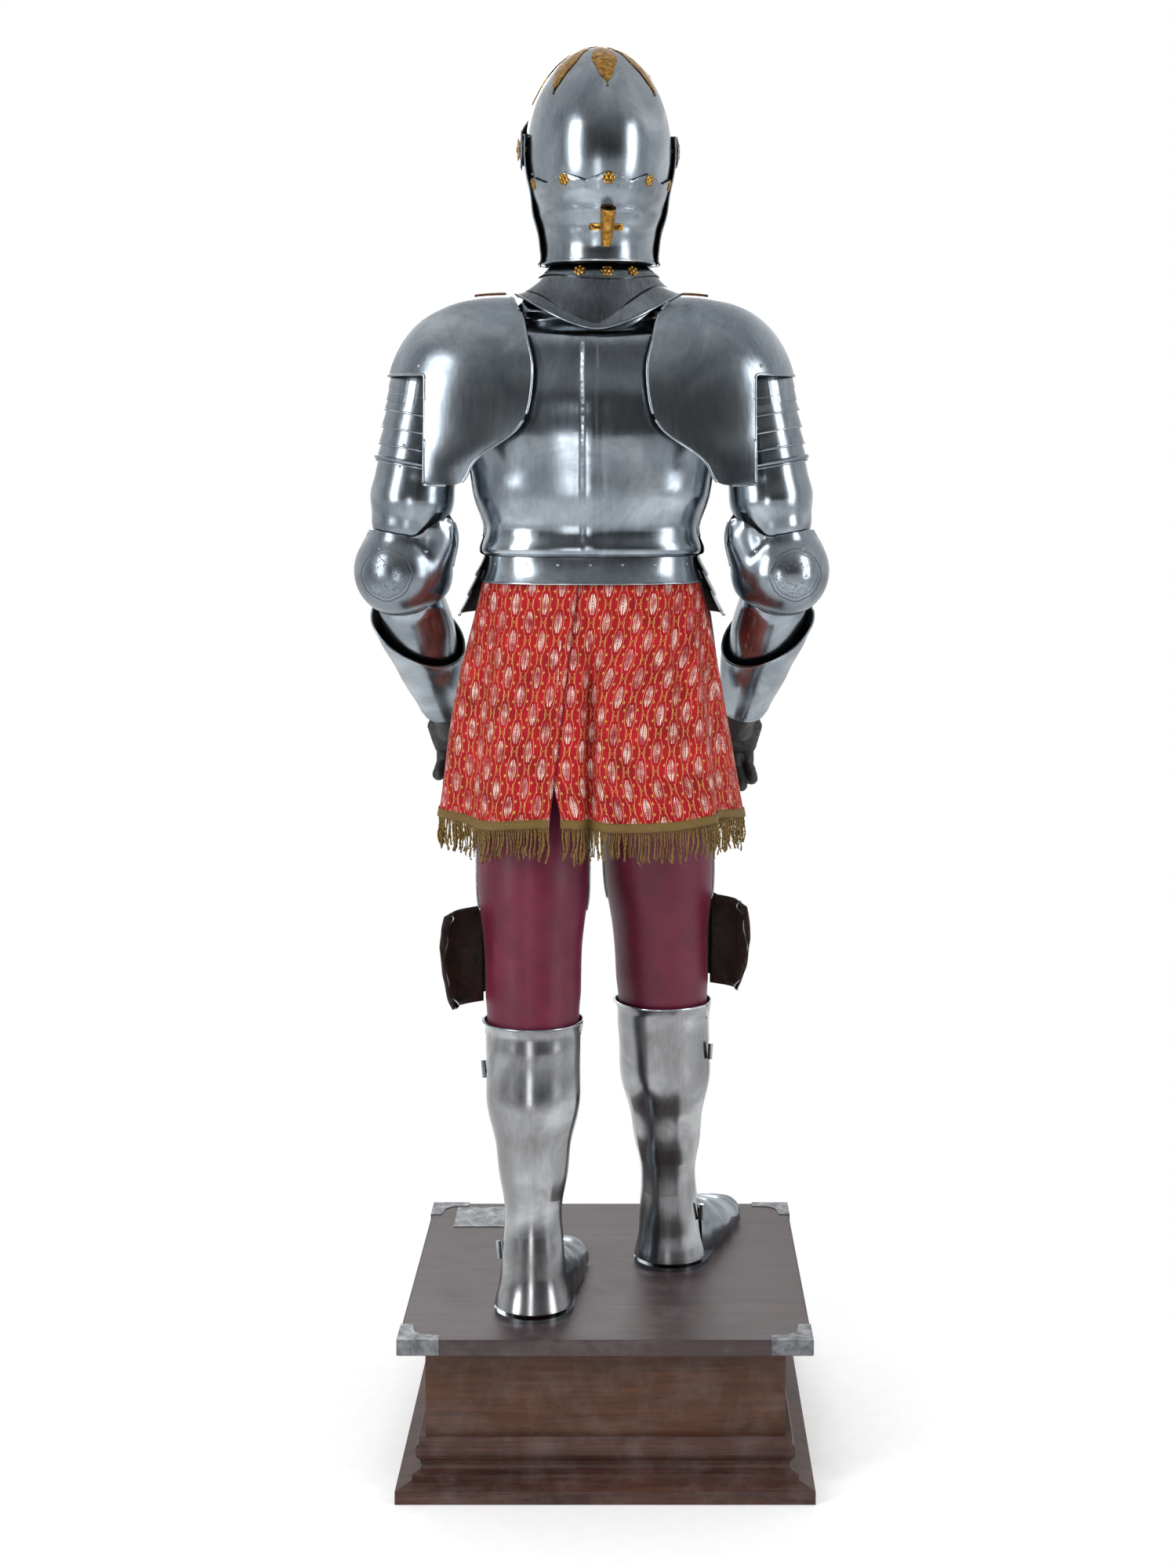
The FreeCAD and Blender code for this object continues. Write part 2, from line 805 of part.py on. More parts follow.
def drum_point(direction, lift):
    """Point of the round shell that can turn about the line through both pivots."""
    reach = size.dome_front_reach + lift
    across = direction.x / (size.dome_half_width + lift)
    deep = math.hypot(direction.y, direction.z) / reach
    return direction * (1 / math.sqrt(across * across + deep * deep))


def egg_half(inset, reach, low_y, high_y):
    """Half of the dome's solid between two planes across the depth."""
    stretch = FreeCAD.Matrix()
    stretch.scale(size.dome_half_width - inset, reach - inset, size.dome_height - inset)
    egg = Part.makeSphere(1).transformGeometry(stretch)
    wide = 2 * (size.dome_half_width + size.dome_height)
    slab = Part.makeBox(wide, high_y - low_y, wide, Vector(-wide / 2, low_y, -wide / 2))
    return egg.common(slab)


far_front = -(size.dome_front_reach + size.overrun)
far_rear = size.dome_rear_reach + size.overrun
seam_level = -size.seam_drop
skull = egg_half(0, size.dome_front_reach, far_front, 0).fuse(
    egg_half(0, size.dome_rear_reach, 0, far_rear)
)
hollow = egg_half(size.gauge, size.dome_front_reach, far_front, 0).fuse(
    egg_half(size.gauge, size.dome_rear_reach, 0, far_rear)
)
skull = skull.cut(hollow)
face_half_width = 0.74 * size.dome_half_width
brow_level = 0.33 * size.dome_height
wide = 2 * size.dome_height
face_opening = Part.makeBox(
    2 * face_half_width, wide, brow_level + wide, Vector(-face_half_width, -wide, -wide)
)
below_seam = Part.makeBox(2 * wide, 2 * wide, wide, Vector(-wide, -wide, seam_level - wide))
skull = skull.cut(face_opening).cut(below_seam)

pivot_reach = size.dome_half_width + size.visor_gap + size.gauge
pin_clearance = 0.05
sideways = Vector(1, 0, 0)


def pivot_hole(fit):
    length = 2 * pivot_reach + 2 * size.overrun
    return Part.makeCylinder(
        size.pivot_pin_radius + fit, length, Vector(-length / 2, 0, 0), sideways
    )


skull = skull.cut(pivot_hole(pin_clearance))
add_node("helmet_skull", [skull], helmet_base)

# Neck guard: laps outside the skull; its upper edge rises in points that carry the rosettes
neck_taper_shares = [(0, 1), (0.27, 0.68), (0.55, 0.25), (0.83, 0.04), (1, 0)]
seam_point_spacing = 36.5
guard_lift = size.gauge + 2 * size.lap_gap + size.guard_air
rim_level = -size.neck_guard_height


def seam_scale():
    return math.sqrt(1 - (size.seam_drop / size.dome_height) ** 2)


def guard_point(height, angle, lift=0.0):
    if height > seam_level:
        scale = math.sqrt(1 - (height / size.dome_height) ** 2)
        half_width = size.dome_half_width * scale
        rear = size.dome_rear_reach * scale
    else:
        share = (height - seam_level) / (rim_level - seam_level)
        taper = along(neck_taper_shares, share)
        scale = seam_scale()
        half_width = size.rim_half_width + (size.dome_half_width * scale - size.rim_half_width) * taper
        rear = size.rim_half_depth + (size.dome_rear_reach * scale - size.rim_half_depth) * taper
    roll = size.rim_roll * smooth(0.9, 1.0, height / rim_level)
    point = oval(half_width + lift + roll, rear + lift + roll, rear + lift + roll, angle)
    point.z = height
    return point


def seam_edge(angle):
    """Height of the guard's pointed upper edge."""
    phase = abs(((angle - 90) / seam_point_spacing + 0.5) % 1 - 0.5) * 2
    return seam_level + size.lap + size.seam_point_rise * (1 - phase)


guard_angles = spread(-24, 204, 76)
guard_grid = []
for share in spread(0, 1, 25):
    row = []
    for angle in guard_angles:
        top = seam_edge(angle)
        row.append(guard_point(top + (rim_level - top) * share, angle, guard_lift))
    guard_grid.append(row)
helmet_heart = Vector(0, 0, 0)
neck_heart = Vector(0, 0, rim_level / 2)
add_node("helmet_neck_guard", [plate(guard_grid, size.gauge, neck_heart)], helmet_base)

# Star of eight ridged leaves on the crown and the boss in its middle
star_petals = 8
petal_start = size.boss_radius + 2 * size.seat_gap
petal_start_angle = math.degrees(math.asin(petal_start / size.dome_half_width))
petals = []
for number in range(star_petals):
    heading = 90 + 360 * number / star_petals
    grid = []
    for share in spread(0, 1, 9):
        lean = math.radians(petal_start_angle + (size.star_tip_angle - petal_start_angle) * share)
        width = size.star_petal_half_width * (0.2 + 0.8 * math.sin(math.pi * min(1, 0.12 + 0.9 * share)))
        width *= 1 - 0.5 * share ** 6
        neighbour_share = 0.9 * math.pi / star_petals
        width = min(width, neighbour_share * size.dome_half_width * math.sin(lean))
        row = []
        for across in (-1, -0.5, 0, 0.5, 1):
            side_step = polar(1, heading + 90) * (across * width / size.dome_height)
            line = polar(math.sin(lean), heading, math.cos(lean)) + side_step
            ridge = 0.5 * size.star_gauge * (1 - abs(across))
            row.append(dome_point(line, size.star_gauge + size.seat_gap / 2 + ridge))
        grid.append(row)
    petals.append(plate(grid, size.star_gauge, helmet_heart))
add_node("crown_star", petals, helmet_base)


def flower(radius, rise, petal_count):
    """Small cast flower: round petals about a domed eye, flat underneath."""
    petal_radius = 0.36 * radius
    whole = dome_stud(Vector(0, 0, 0), Vector(0, 0, 1), 0.5 * radius, rise)
    whole = whole.fuse(Part.makeCylinder(0.72 * radius, 0.3 * rise))
    for number in range(petal_count):
        spot = polar(radius - petal_radius, 360 * number / petal_count)
        whole = whole.fuse(dome_stud(spot, Vector(0, 0, 1), petal_radius, 0.6 * rise))
    return whole


up = Vector(0, 0, 1)
boss = placed(flower(size.boss_radius, size.boss_rise, 8), Vector(0, 0, size.dome_height), up)
rosette = flower(size.rosette_radius, size.rosette_rise, 6)
rosettes = [boss]
for step in range(-2, 3):
    angle = 90 + step * seam_point_spacing
    height = seam_edge(angle) - size.rosette_radius
    spot = guard_point(height, angle, guard_lift)
    above = guard_point(height + size.lap, angle, guard_lift)
    beside = guard_point(height, angle + 1, guard_lift)
    facing = (beside - spot).cross(above - spot).normalize()
    rosettes.append(placed(rosette, spot + facing * 2 * size.seat_gap, facing))
add_node("helmet_rosettes", rosettes, helmet_base)

# Plume holder: a tapered socket that leans back from the neck guard, and the band that holds it
band_level = rim_level + size.plume_rise
band_lift = guard_lift + size.plume_band_gauge + 3 * size.seat_gap
socket_tilt = math.radians(size.plume_tilt)
socket_middle_radius = (size.plume_foot_radius + size.plume_mouth_radius) / 2
socket_reach = guard_point(band_level, 90, band_lift + 3 * size.seat_gap).y + size.socket_air
socket_reach += socket_middle_radius / math.cos(socket_tilt)
foot_level = band_level - size.plume_length / 2 * math.cos(socket_tilt)
foot_reach = socket_reach - size.plume_length / 2 * math.sin(socket_tilt)
socket = doc.addObject("Part::Cone", "PlumeSocketBody")
bind(
    socket,
    {
        "Radius1": "Sizes.plume_foot_radius",
        "Radius2": "Sizes.plume_mouth_radius",
        "Height": "Sizes.plume_length",
    },
)
bore = doc.addObject("Part::Cylinder", "PlumeSocketBore")
bind(
    bore,
    {
        "Radius": "Sizes.plume_bore_radius",
        "Height": "Sizes.plume_bore_depth + Sizes.overrun",
        "Placement.Base.z": "Sizes.plume_length - Sizes.plume_bore_depth",
    },
)
plume_holder = doc.addObject("Part::Cut", "plume_holder")
plume_holder.Base = socket
plume_holder.Tool = bore
plume_holder.Placement = helmet_base * Placement(
    Vector(0, foot_reach, foot_level), Rotation(Vector(1, 0, 0), -size.plume_tilt)
)
nodes.append(plume_holder)

band_half_angle = math.degrees(size.plume_band_length / 2 / guard_point(band_level, 90).y)
band_grid = []
for share in spread(-0.5, 0.5, 5):
    height = band_level + size.plume_band_height * share
    row = [
        guard_point(height, angle, band_lift)
        for angle in spread(90 - band_half_angle, 90 + band_half_angle, 9)
    ]
    band_grid.append(row)
band_studs = [
    dome_stud(
        guard_point(band_level, 90 + side * 0.8 * band_half_angle, band_lift + size.seat_gap),
        guard_point(band_level, 90 + side * 0.8 * band_half_angle) - Vector(0, 0, band_level),
        size.rivet_radius, size.rivet_rise,
    )
    for side in (-1, 1)
]
add_node(
    "plume_holder_band",
    [plate(band_grid, size.plume_band_gauge, neck_heart)] + band_studs,
    helmet_base,
)

# Bevor: chin and throat plate with ears on the pivots, a round shell above the throat
bevor_lift = size.face_plate_gap + size.gauge
bevor_top_drop = 0.25 * size.dome_height
ear_rise = 0.13 * size.dome_height
throat_clearance = guard_lift + size.face_plate_gap + size.gauge + 2 * size.plate_air


def bevor_point(height, angle):
    reach = size.dome_front_reach + bevor_lift
    scale = math.sqrt(max(0.0, 1 - (height / reach) ** 2))
    guard = guard_point(min(height, 0.0), 0, throat_clearance)
    chin = smooth(0.36, 0.6, -height / reach)
    half_width = (size.dome_half_width + bevor_lift) * scale
    half_width = half_width + max(0.0, guard.x - half_width) * chin
    depth = reach * scale
    throat = size.rim_half_depth + throat_clearance
    depth = max(depth, throat) + size.rim_roll * smooth(0.85, 1.05, -height / reach)
    point = oval(half_width, depth, depth, angle)
    point.z = height
    return point


bevor_grid = []
bevor_half_angle = 99
bevor_angles = spread(-90 - bevor_half_angle, bevor_half_angle - 90, 41)
bevor_foot = rim_level - 0.5 * size.rim_roll
for share in spread(0, 1, 13):
    row = []
    for angle in bevor_angles:
        sideness = smooth(0.5, 0.98, abs(math.cos(math.radians(angle))))
        top = -bevor_top_drop + (bevor_top_drop + ear_rise) * sideness
        row.append(bevor_point(top + (bevor_foot - top) * share, angle))
    bevor_grid.append(row)
bevor = plate(bevor_grid, size.gauge, neck_heart).cut(pivot_hole(pin_clearance))
add_node("bevor", [bevor], helmet_base)

# Visor: a round shell across the face whose prow bulges outward only
visor_middle = math.radians(7)
visor_half_height = math.tan(math.radians(24))
visor_lift = size.visor_gap + size.gauge
arm_half_height = size.visor_arm_half_height / size.dome_half_width
forward = Vector(0, -math.cos(visor_middle), math.sin(visor_middle))
upward = Vector(0, math.sin(visor_middle), math.cos(visor_middle))
visor_overlap_angle = 0.95 * math.degrees(arm_half_height)
visor_columns = spread(-visor_overlap_angle, 180 + visor_overlap_angle, 45)
visor_grid = []
for level in spread(-1, 1, 13):
    row = []
    for column in visor_columns:
        turn = math.radians(column)
        fullness = smooth(0.22, 0.9, math.sin(turn))
        half_height = arm_half_height + (visor_half_height - arm_half_height) * fullness
        beyond = max(0.0, -math.sin(turn)) / arm_half_height
        half_height *= math.sqrt(max(0.05, 1 - beyond * beyond))
        line = sideways * math.cos(turn) + forward * math.sin(turn) + upward * (level * half_height)
        ridge = math.exp(-((column - 90) / 24) ** 2)
        belly = max(0.0, 1 - (0.9 * level + 0.12) ** 2)
        row.append(drum_point(line, visor_lift + size.visor_prow * ridge * belly))
    visor_grid.append(row)
visor = plate(visor_grid, size.gauge, helmet_heart).cut(pivot_hole(pin_clearance))
sight_length = 0.44 * size.dome_half_width
for side in (-1, 1):
    slot = Part.makeBox(sight_length, size.dome_front_reach, size.sight_height)
    slot.translate(Vector(side * 0.42 * size.dome_half_width - sight_length / 2, 0, 0))
    slot.translate(Vector(0, -2 * size.dome_front_reach, 0.22 * size.dome_height))
    slot.translate(Vector(0, 0.5 * size.dome_front_reach, 0))
    visor = visor.cut(slot)
    for row_number in range(3):
        for hole_number in range(4):
            hole_x = side * (size.breath_hole_inset + size.breath_hole_spacing * hole_number)
            hole_z = size.breath_row_spacing * row_number - size.breath_row_drop
            breath = Part.makeCylinder(
                size.breath_hole_radius, 2 * size.dome_front_reach,
                Vector(hole_x, 0, hole_z), Vector(0, -1, 0),
            )
            visor = visor.cut(breath)
add_node("visor", [visor], helmet_base)

# Brass pivots: a flower head outside the visor and a pin through both ears into the skull
pivots = []
for side in (-1, 1):
    facing = Vector(side, 0, 0)
    head_spot = facing * (pivot_reach + 2 * size.seat_gap)
    head = placed(flower(size.pivot_flower_radius, size.pivot_flower_rise, 8), head_spot, facing)
    pin_length = pivot_reach + 2 * size.seat_gap - size.dome_half_width + 3 * size.gauge
    pin = Part.makeCylinder(size.pivot_pin_radius, pin_length, head_spot, facing * -1)
    pivots.append(head.fuse(pin))
add_node("visor_pivots", pivots, helmet_base)

# Rosettes of the gorget
gorget_rosettes = []
for angle in (62, 90, 118):
    spot = raised_gorget_point(0.36, angle, hoop_lift)
    near = raised_gorget_point(0.3, angle, hoop_lift)
    side_spot = raised_gorget_point(0.36, angle + 1, hoop_lift)
    facing = (side_spot - spot).cross(near - spot).normalize()
    gorget_rosettes.append(placed(rosette, spot + facing * size.seat_gap, facing))
add_node("gorget_rosettes", gorget_rosettes, gorget_base)

# Wooden frame inside: hip block, spine, shoulder bar and head
def closed_prism(points, height):
    curve = Part.BSplineCurve()
    curve.interpolate(Points=points, PeriodicFlag=True)
    return Part.Face(Part.Wire(curve.toShape())).extrude(Vector(0, 0, height))


hip_top = waist_height + size.hip_block_rise
hip_outline = []
for angle in spread(0, 345, 24):
    point = waist_oval(angle, -size.gauge - size.seat_gap, 0)
    point.z = size.hip_height
    hip_outline.append(point)
add_node("hip_block", [closed_prism(hip_outline, hip_top - size.hip_height)], figure_base)

shoulder_level = neck_height - size.shoulder_drop
head_base_level = pivot_height - 0.55 * size.dome_height
figure_x_formula = "Sizes.figure_x + Sizes.neck_x"
spine_post = bound_box(
    "SpinePost", "spine_post", "Sizes.post_side", "Sizes.post_side", f"{head_base_level - hip_top}",
    figure_x_formula, "Sizes.figure_y", f"Sizes.plinth_height + {hip_top}",
)
nodes.append(spine_post)

head_height = size.dome_height - size.gauge - 2 * size.seat_gap - (head_base_level - pivot_height)
head_block = Part.makeSphere(0.5 * size.dome_height)
head_block = head_block.common(
    Part.makeBox(wide, wide, wide, Vector(-wide / 2, -wide / 2, head_base_level - pivot_height))
)
head_base = Vector(0, 0, head_base_level - pivot_height)
head_stub = Part.makeCylinder(size.head_stub_radius, head_height, head_base)
add_node("head_block", [head_block.fuse(head_stub)], turned_about_neck(0, pivot_height))


# Pauldrons: cap over the shoulder with a broad rear wing and a smaller front wing
pauldron_inner_shares = [
    (-0.4, 0.71), (-0.21, 0.52), (0, 0.346), (0.24, 0.277), (0.52, 0.277), (0.79, 0.318), (1, 0.39),
]
pauldron_centre = neck_height - size.pauldron_centre_drop
cap_power = 2.6
cap_end_share = 0.97


def pauldron_point(depth, rise, cross_share, sign):
    """Depth and rise belong to the inner edge; the cap closes towards the arm."""
    inner = along(pauldron_inner_shares, rise / size.pauldron_top_rise) * size.pauldron_reach
    closing = (1 - (cap_end_share * cross_share) ** cap_power) ** (1 / cap_power)
    x = inner + (size.pauldron_reach - inner) * cross_share
    return Vector(sign * x, depth * closing, pauldron_centre + rise * closing)


def pauldron_rows():
    rows = []
    depth = size.pauldron_half_depth
    rise = size.pauldron_top_rise
    for share in (-0.4, -0.27, -0.13):
        rows.append((depth, rise * share))
    for angle in spread(0, 90, 8):
        turn = math.radians(angle)
        rows.append((depth * math.cos(turn) ** 0.8, rise * math.sin(turn) ** 0.8))
    for angle in spread(100, 180, 7):
        turn = math.radians(angle)
        front = size.pauldron_front_depth
        rows.append((-front * abs(math.cos(turn)) ** 0.8, rise * max(0.0, math.sin(turn)) ** 0.8))
    rows.append((-size.pauldron_front_depth, -0.13 * rise))
    return rows


pauldron_caps = {}
for name, sign in left_and_right:
    grid = [
        [pauldron_point(depth, rise, 1 - (1 - share) ** 1.5, sign) for share in spread(0, 1, 13)]
        for depth, rise in pauldron_rows()
    ]
    heart = Vector(sign * 0.6 * size.pauldron_reach, 0, pauldron_centre)
    cap = plate(grid, size.gauge, heart)
    notch_top = pauldron_centre + 0.4 * size.pauldron_top_rise
    notch = Part.makeBox(
        size.pauldron_reach, 4 * size.pauldron_half_depth, size.pauldron_top_rise,
        Vector(
            size.pauldron_notch_x if sign > 0 else -size.pauldron_notch_x - size.pauldron_reach,
            -2 * size.pauldron_half_depth,
            notch_top - size.pauldron_top_rise,
        ),
    )
    pauldron_caps[name] = cap.cut(notch)
    add_node(f"{name}_pauldron", [pauldron_caps[name]], figure_base)

# Arms hang from the shoulder bar; each is set out from the centre of its elbow
lean = math.radians(size.upper_arm_lean)
elbow_height = shoulder_level - size.upper_arm_length * math.cos(lean)
elbow_x = size.shoulder_x + size.upper_arm_length * math.sin(lean)
forearm_way_shares = (-0.179, -0.62, -0.764)


def arm_frame(sign):
    """Elbow centre, direction up the arm, direction down the forearm and the hinge line."""
    elbow = Vector(sign * elbow_x, 0, elbow_height)
    arm_up = Vector(-sign * math.sin(lean), 0, math.cos(lean))
    forearm = Vector(sign * forearm_way_shares[0], *forearm_way_shares[1:]).normalize()
    hinge = forearm.cross(Vector(0, 0, 1)).normalize()
    return elbow, arm_up, forearm, hinge if hinge.x > 0 else hinge * -1


def limb_base(origin, axis, side_line):
    """Frame with its own +Z along a limb and its +X along a line across it."""
    across = (side_line - axis * side_line.dot(axis)).normalize()
    turn = Rotation(across, axis.cross(across), axis, "ZXY")
    return figure_base * Placement(origin, turn)


elbow_ball_radius = size.couter_radius - size.gauge - size.seat_gap
rim_reach = elbow_ball_radius + size.seat_gap
rim_distance = math.sqrt(rim_reach ** 2 - (size.elbow_rim_radius - size.gauge) ** 2)
upper_arm_shares = [
    # distance from the elbow as a share of the arm, radius as a share of the arm's radius
    (rim_distance / size.upper_arm_length, size.elbow_rim_radius / size.arm_radius),
    (0.24, 0.92),
    (0.38, 1.05),
    (0.5, 1.0),
    (1.0, 1.0),
]


def arm_point(distance, angle, lift=0.0):
    radius = along(upper_arm_shares, distance / size.upper_arm_length) * size.arm_radius
    return polar(radius + lift, angle, distance)


seam_angle = 0.6
tube_angles = spread(seam_angle - 180, 180 - seam_angle, 33)
arm_hoops = 4
ring_distance = size.arm_ring_distance
shoulder_distance = size.upper_arm_length - 4 * size.lap
forearm_shares = [
    (rim_distance / size.forearm_length, size.elbow_rim_radius / size.forearm_radius),
    (0.27, 0.98),
    (0.4, 1.0),
    (0.65, 0.9),
    (1.0, size.wrist_radius / size.forearm_radius),
]


def forearm_point(distance, angle, lift=0.0):
    radius = along(forearm_shares, distance / size.forearm_length) * size.forearm_radius
    return polar(radius + lift, angle, distance)


def hoop_arm_point(position, angle, lift):
    return arm_point(shoulder_distance + (ring_distance - shoulder_distance) * position, angle, lift)


# Angle round the cop against the angle that its edges lie above and below its middle
couter_upper_angles = [(-80, 60), (-50, 70), (0, 74), (50, 70), (75, 62), (118, 52)]
couter_lower_angles = [(-80, 48), (-50, 56), (0, 62), (50, 56), (75, 40), (118, 25)]
sleeve_power = 8
couter_wing_start_angle = 70
cuff_inner_flare_share = 0.28
arm_form_radius = size.arm_radius - size.gauge - 2 * size.seat_gap


def cop_point(spot, arm_up):
    """Moves a point of the cop out from the arm's line, so that its upper edge laps over the arm."""
    distance = spot.dot(arm_up)
    across = spot - arm_up * distance
    if distance <= 0:
        return spot
    sleeve = arm_point(distance, 0).x + 2 * size.gauge + 2 * size.plate_air
    reach = (across.Length ** sleeve_power + (sleeve * smooth(0, rim_distance, distance)) ** sleeve_power)
    return arm_up * distance + across.normalize() * reach ** (1 / sleeve_power)


arm_forms = []
for name, sign in left_and_right:
    elbow, arm_up, forearm, hinge = arm_frame(sign)
    upper_base = limb_base(elbow, arm_up, hinge)
    lower_base = limb_base(elbow, forearm, hinge)
    arm_heart = Vector(0, 0, size.upper_arm_length / 2)

    hoops = [
        plate(
            hoop_grid(
                number, arm_hoops, hoop_arm_point,
                size.lap / (shoulder_distance - ring_distance), tube_angles, rows=7,
            ),
            size.gauge, arm_heart,
        )
        for number in range(arm_hoops)
    ]
    add_node(f"{name}_arm_lames", hoops, upper_base)
    cannon_grid = [
        [arm_point(distance, angle) for angle in tube_angles]
        for distance in spread(ring_distance + size.lap, rim_distance, 9)
    ]
    add_node(f"{name}_upper_cannon", [plate(cannon_grid, size.gauge, arm_heart)], upper_base)
    form_start = ring_distance + 2 * size.lap
    arm_form = Part.makeCylinder(
        arm_form_radius, size.upper_arm_length - form_start, elbow + arm_up * form_start, arm_up
    )
    arm_forms.append(arm_form)
    arm_forms.append(Part.makeSphere(elbow_ball_radius, elbow))

    # Spherical elbow cop that faces away from both arm tubes, with a wing inside the bend
    rearward = (arm_up + forearm).normalize() * -1
    outward = hinge * sign
    swing = (arm_up - rearward * arm_up.dot(rearward)).normalize()
    outward = (outward - rearward * outward.dot(rearward) - swing * outward.dot(swing)).normalize()
    cop_grid = []
    for level in spread(-1, 1, 13):
        row = []
        for side_angle in spread(-size.couter_side_angle, size.couter_wing_angle, 25):
            edge_angles = couter_upper_angles if level > 0 else couter_lower_angles
            fold = math.radians(level * along(edge_angles, side_angle))
            turn = math.radians(side_angle)
            way = (rearward * math.cos(turn) - outward * math.sin(turn)) * math.cos(fold)
            way = way + swing * math.sin(fold)
            wing = size.couter_wing_lift + size.couter_wing_rise * smooth(0, 1, level)
            wing *= smooth(couter_wing_start_angle, size.couter_wing_angle, side_angle)
            row.append(cop_point(way * (size.couter_radius + wing), arm_up))
        cop_grid.append(row)
    cop_base = figure_base * Placement(elbow, Rotation())
    add_node(f"{name}_couter", [plate(cop_grid, size.gauge, Vector(0, 0, 0))], cop_base)

    lower_grid = [
        [forearm_point(distance, angle) for angle in tube_angles]
        for distance in spread(rim_distance, size.forearm_length, 11)
    ]
    forearm_heart = Vector(0, 0, size.forearm_length / 2)
    add_node(f"{name}_lower_cannon", [plate(lower_grid, size.gauge, forearm_heart)], lower_base)

    # Flared cuff whose mouth is cut on a slant, longest on the outer side of the arm
    outer_angle = 0 if sign > 0 else 180

    def cuff_point(share, angle):
        outerness = math.cos(math.radians(angle - outer_angle))
        length = size.cuff_length + size.cuff_slant * outerness
        lift = size.gauge + 2.5 * size.seat_gap
        spare = size.cuff_mouth_radius - forearm_point(cuff_end - length, 0).x - lift
        spare *= 1 - cuff_inner_flare_share * (1 - outerness)
        return forearm_point(cuff_end - length * share, angle, lift + spare * share ** 1.4)

    cuff_end = size.forearm_length - size.cuff_inset
    cuff_grid = [[cuff_point(share, angle) for angle in tube_angles] for share in spread(0, 1, 13)]
    add_node(f"{name}_gauntlet_cuff", [plate(cuff_grid, size.gauge, forearm_heart)], lower_base)

    # Gloved hand: a ball in the wrist, a palm, four fingers and a thumb
    ball_radius = size.wrist_radius - size.gauge - size.seat_gap
    ball_distance = size.forearm_length - size.wrist_ball_inset
    glove = Part.makeSphere(ball_radius, Vector(0, 0, ball_distance))
    palm_start = ball_distance + 0.5 * ball_radius
    palm_length = 0.62 * size.hand_length
    palm_width = 2.5 * size.hand_radius
    palm_depth = size.hand_radius
    glove = glove.fuse(
        Part.makeCylinder(0.75 * ball_radius, palm_length, Vector(0, 0, ball_distance))
    )
    palm = Part.makeBox(
        palm_width, palm_depth, palm_length,
        Vector(-palm_width / 2, -palm_depth / 2, palm_start + ball_radius * 0.7),
    )
    palm = palm.makeFillet(0.3 * palm_depth, palm.Edges)
    glove = glove.fuse(palm)
    knuckle = palm_start + ball_radius * 0.7 + palm_length - size.finger_radius
    for number, share in enumerate((0.85, 1, 0.95, 0.75)):
        x = (number - 1.5) * 2 * size.finger_radius
        root = Vector(x, 0, knuckle)
        first = root + Vector(0, -0.22 * size.hand_length, 0.3 * size.hand_length) * share
        second = first + Vector(0, -0.34 * size.hand_length, 0.02 * size.hand_length) * share
        for start, end in ((root, first), (first, second)):
            bone = end - start
            glove = glove.fuse(Part.makeCylinder(size.finger_radius, bone.Length, start, bone))
            glove = glove.fuse(Part.makeSphere(size.finger_radius, end))
    thumb_x = sign * (size.finger_radius - 0.5 * palm_width)
    thumb_root = Vector(thumb_x, 0, knuckle - 0.4 * palm_length)
    thumb_way = Vector(-sign * 0.2 * size.hand_length, -0.3 * size.hand_length, 0.25 * size.hand_length)
    glove = glove.fuse(
        Part.makeCylinder(size.finger_radius, thumb_way.Length, thumb_root, thumb_way)
    )
    glove = glove.fuse(Part.makeSphere(size.finger_radius, thumb_root + thumb_way))
    add_node(f"{name}_gauntlet_hand", [glove], lower_base)

# Shoulder bar between the arm forms, and a peg under each pauldron
bar_top = shoulder_level + size.shoulder_bar_height / 2
axis_x = elbow_x - (bar_top - elbow_height) * math.tan(lean)
form_reach = math.sqrt(arm_form_radius ** 2 - (size.post_side / 2) ** 2)
bar_reach = axis_x - form_reach / math.cos(lean) - size.seat_gap
bar_front = -size.post_side / 2 - size.shoulder_bar_height
shoulder_bar = Part.makeBox(
    2 * bar_reach, size.shoulder_bar_height, size.shoulder_bar_height,
    Vector(-bar_reach, bar_front, shoulder_level - size.shoulder_bar_height / 2),
)
peg_x = 0.8 * bar_reach
peg_y = bar_front + size.shoulder_bar_height / 2
peg_bottom = shoulder_level + size.shoulder_bar_height / 2
peg_length = size.pauldron_top_rise
peg_column = Part.makeCylinder(
    size.shoulder_peg_radius, peg_length, Vector(peg_x, peg_y, peg_bottom)
)
peg_overlap = peg_column.common(pauldron_caps["left"])
peg_top = peg_overlap.optimalBoundingBox(True, False).ZMin - size.seat_gap
pegs = [
    Part.makeCylinder(
        size.shoulder_peg_radius, peg_top - peg_bottom, Vector(side * peg_x, peg_y, peg_bottom)
    )
    for side in (-1, 1)
]
add_node("shoulder_bar", [shoulder_bar.fuse(pegs[0]).fuse(pegs[1])], figure_base)
add_node("arm_forms", arm_forms, figure_base)

# Legs: each follows a straight line from the hip to the ankle
leg_radius_shares = [
    # height, radius as a share of the thigh's radius
    (0.0, 0.36), (0.15, 0.4), (0.31, 0.7), (0.42, 0.78), (0.5, 0.8), (0.62, 0.93), (0.78, 0.95),
    (0.93, 0.86), (1.0, 0.78),
]
greave_shares = [
    # height as a share of the greave's top, radius as a share of its radius at the calf
    (0.0, 0.84), (0.15, 0.68), (0.34, 0.6), (0.52, 0.76), (0.74, 1.0), (0.88, 1.0), (0.96, 1.02),
    (1.0, 1.07),
]
foot_shares = [
    # share of the foot's length before the ankle, half-width, height
    (0.0, 0.88, 1.0), (0.25, 0.98, 0.8), (0.5, 1.0, 0.56), (0.75, 0.94, 0.4), (0.9, 0.76, 0.31),
    (1.0, 0.5, 0.22),
]


def leg_radius(height):
    return along(leg_radius_shares, height / size.hip_height) * size.thigh_radius


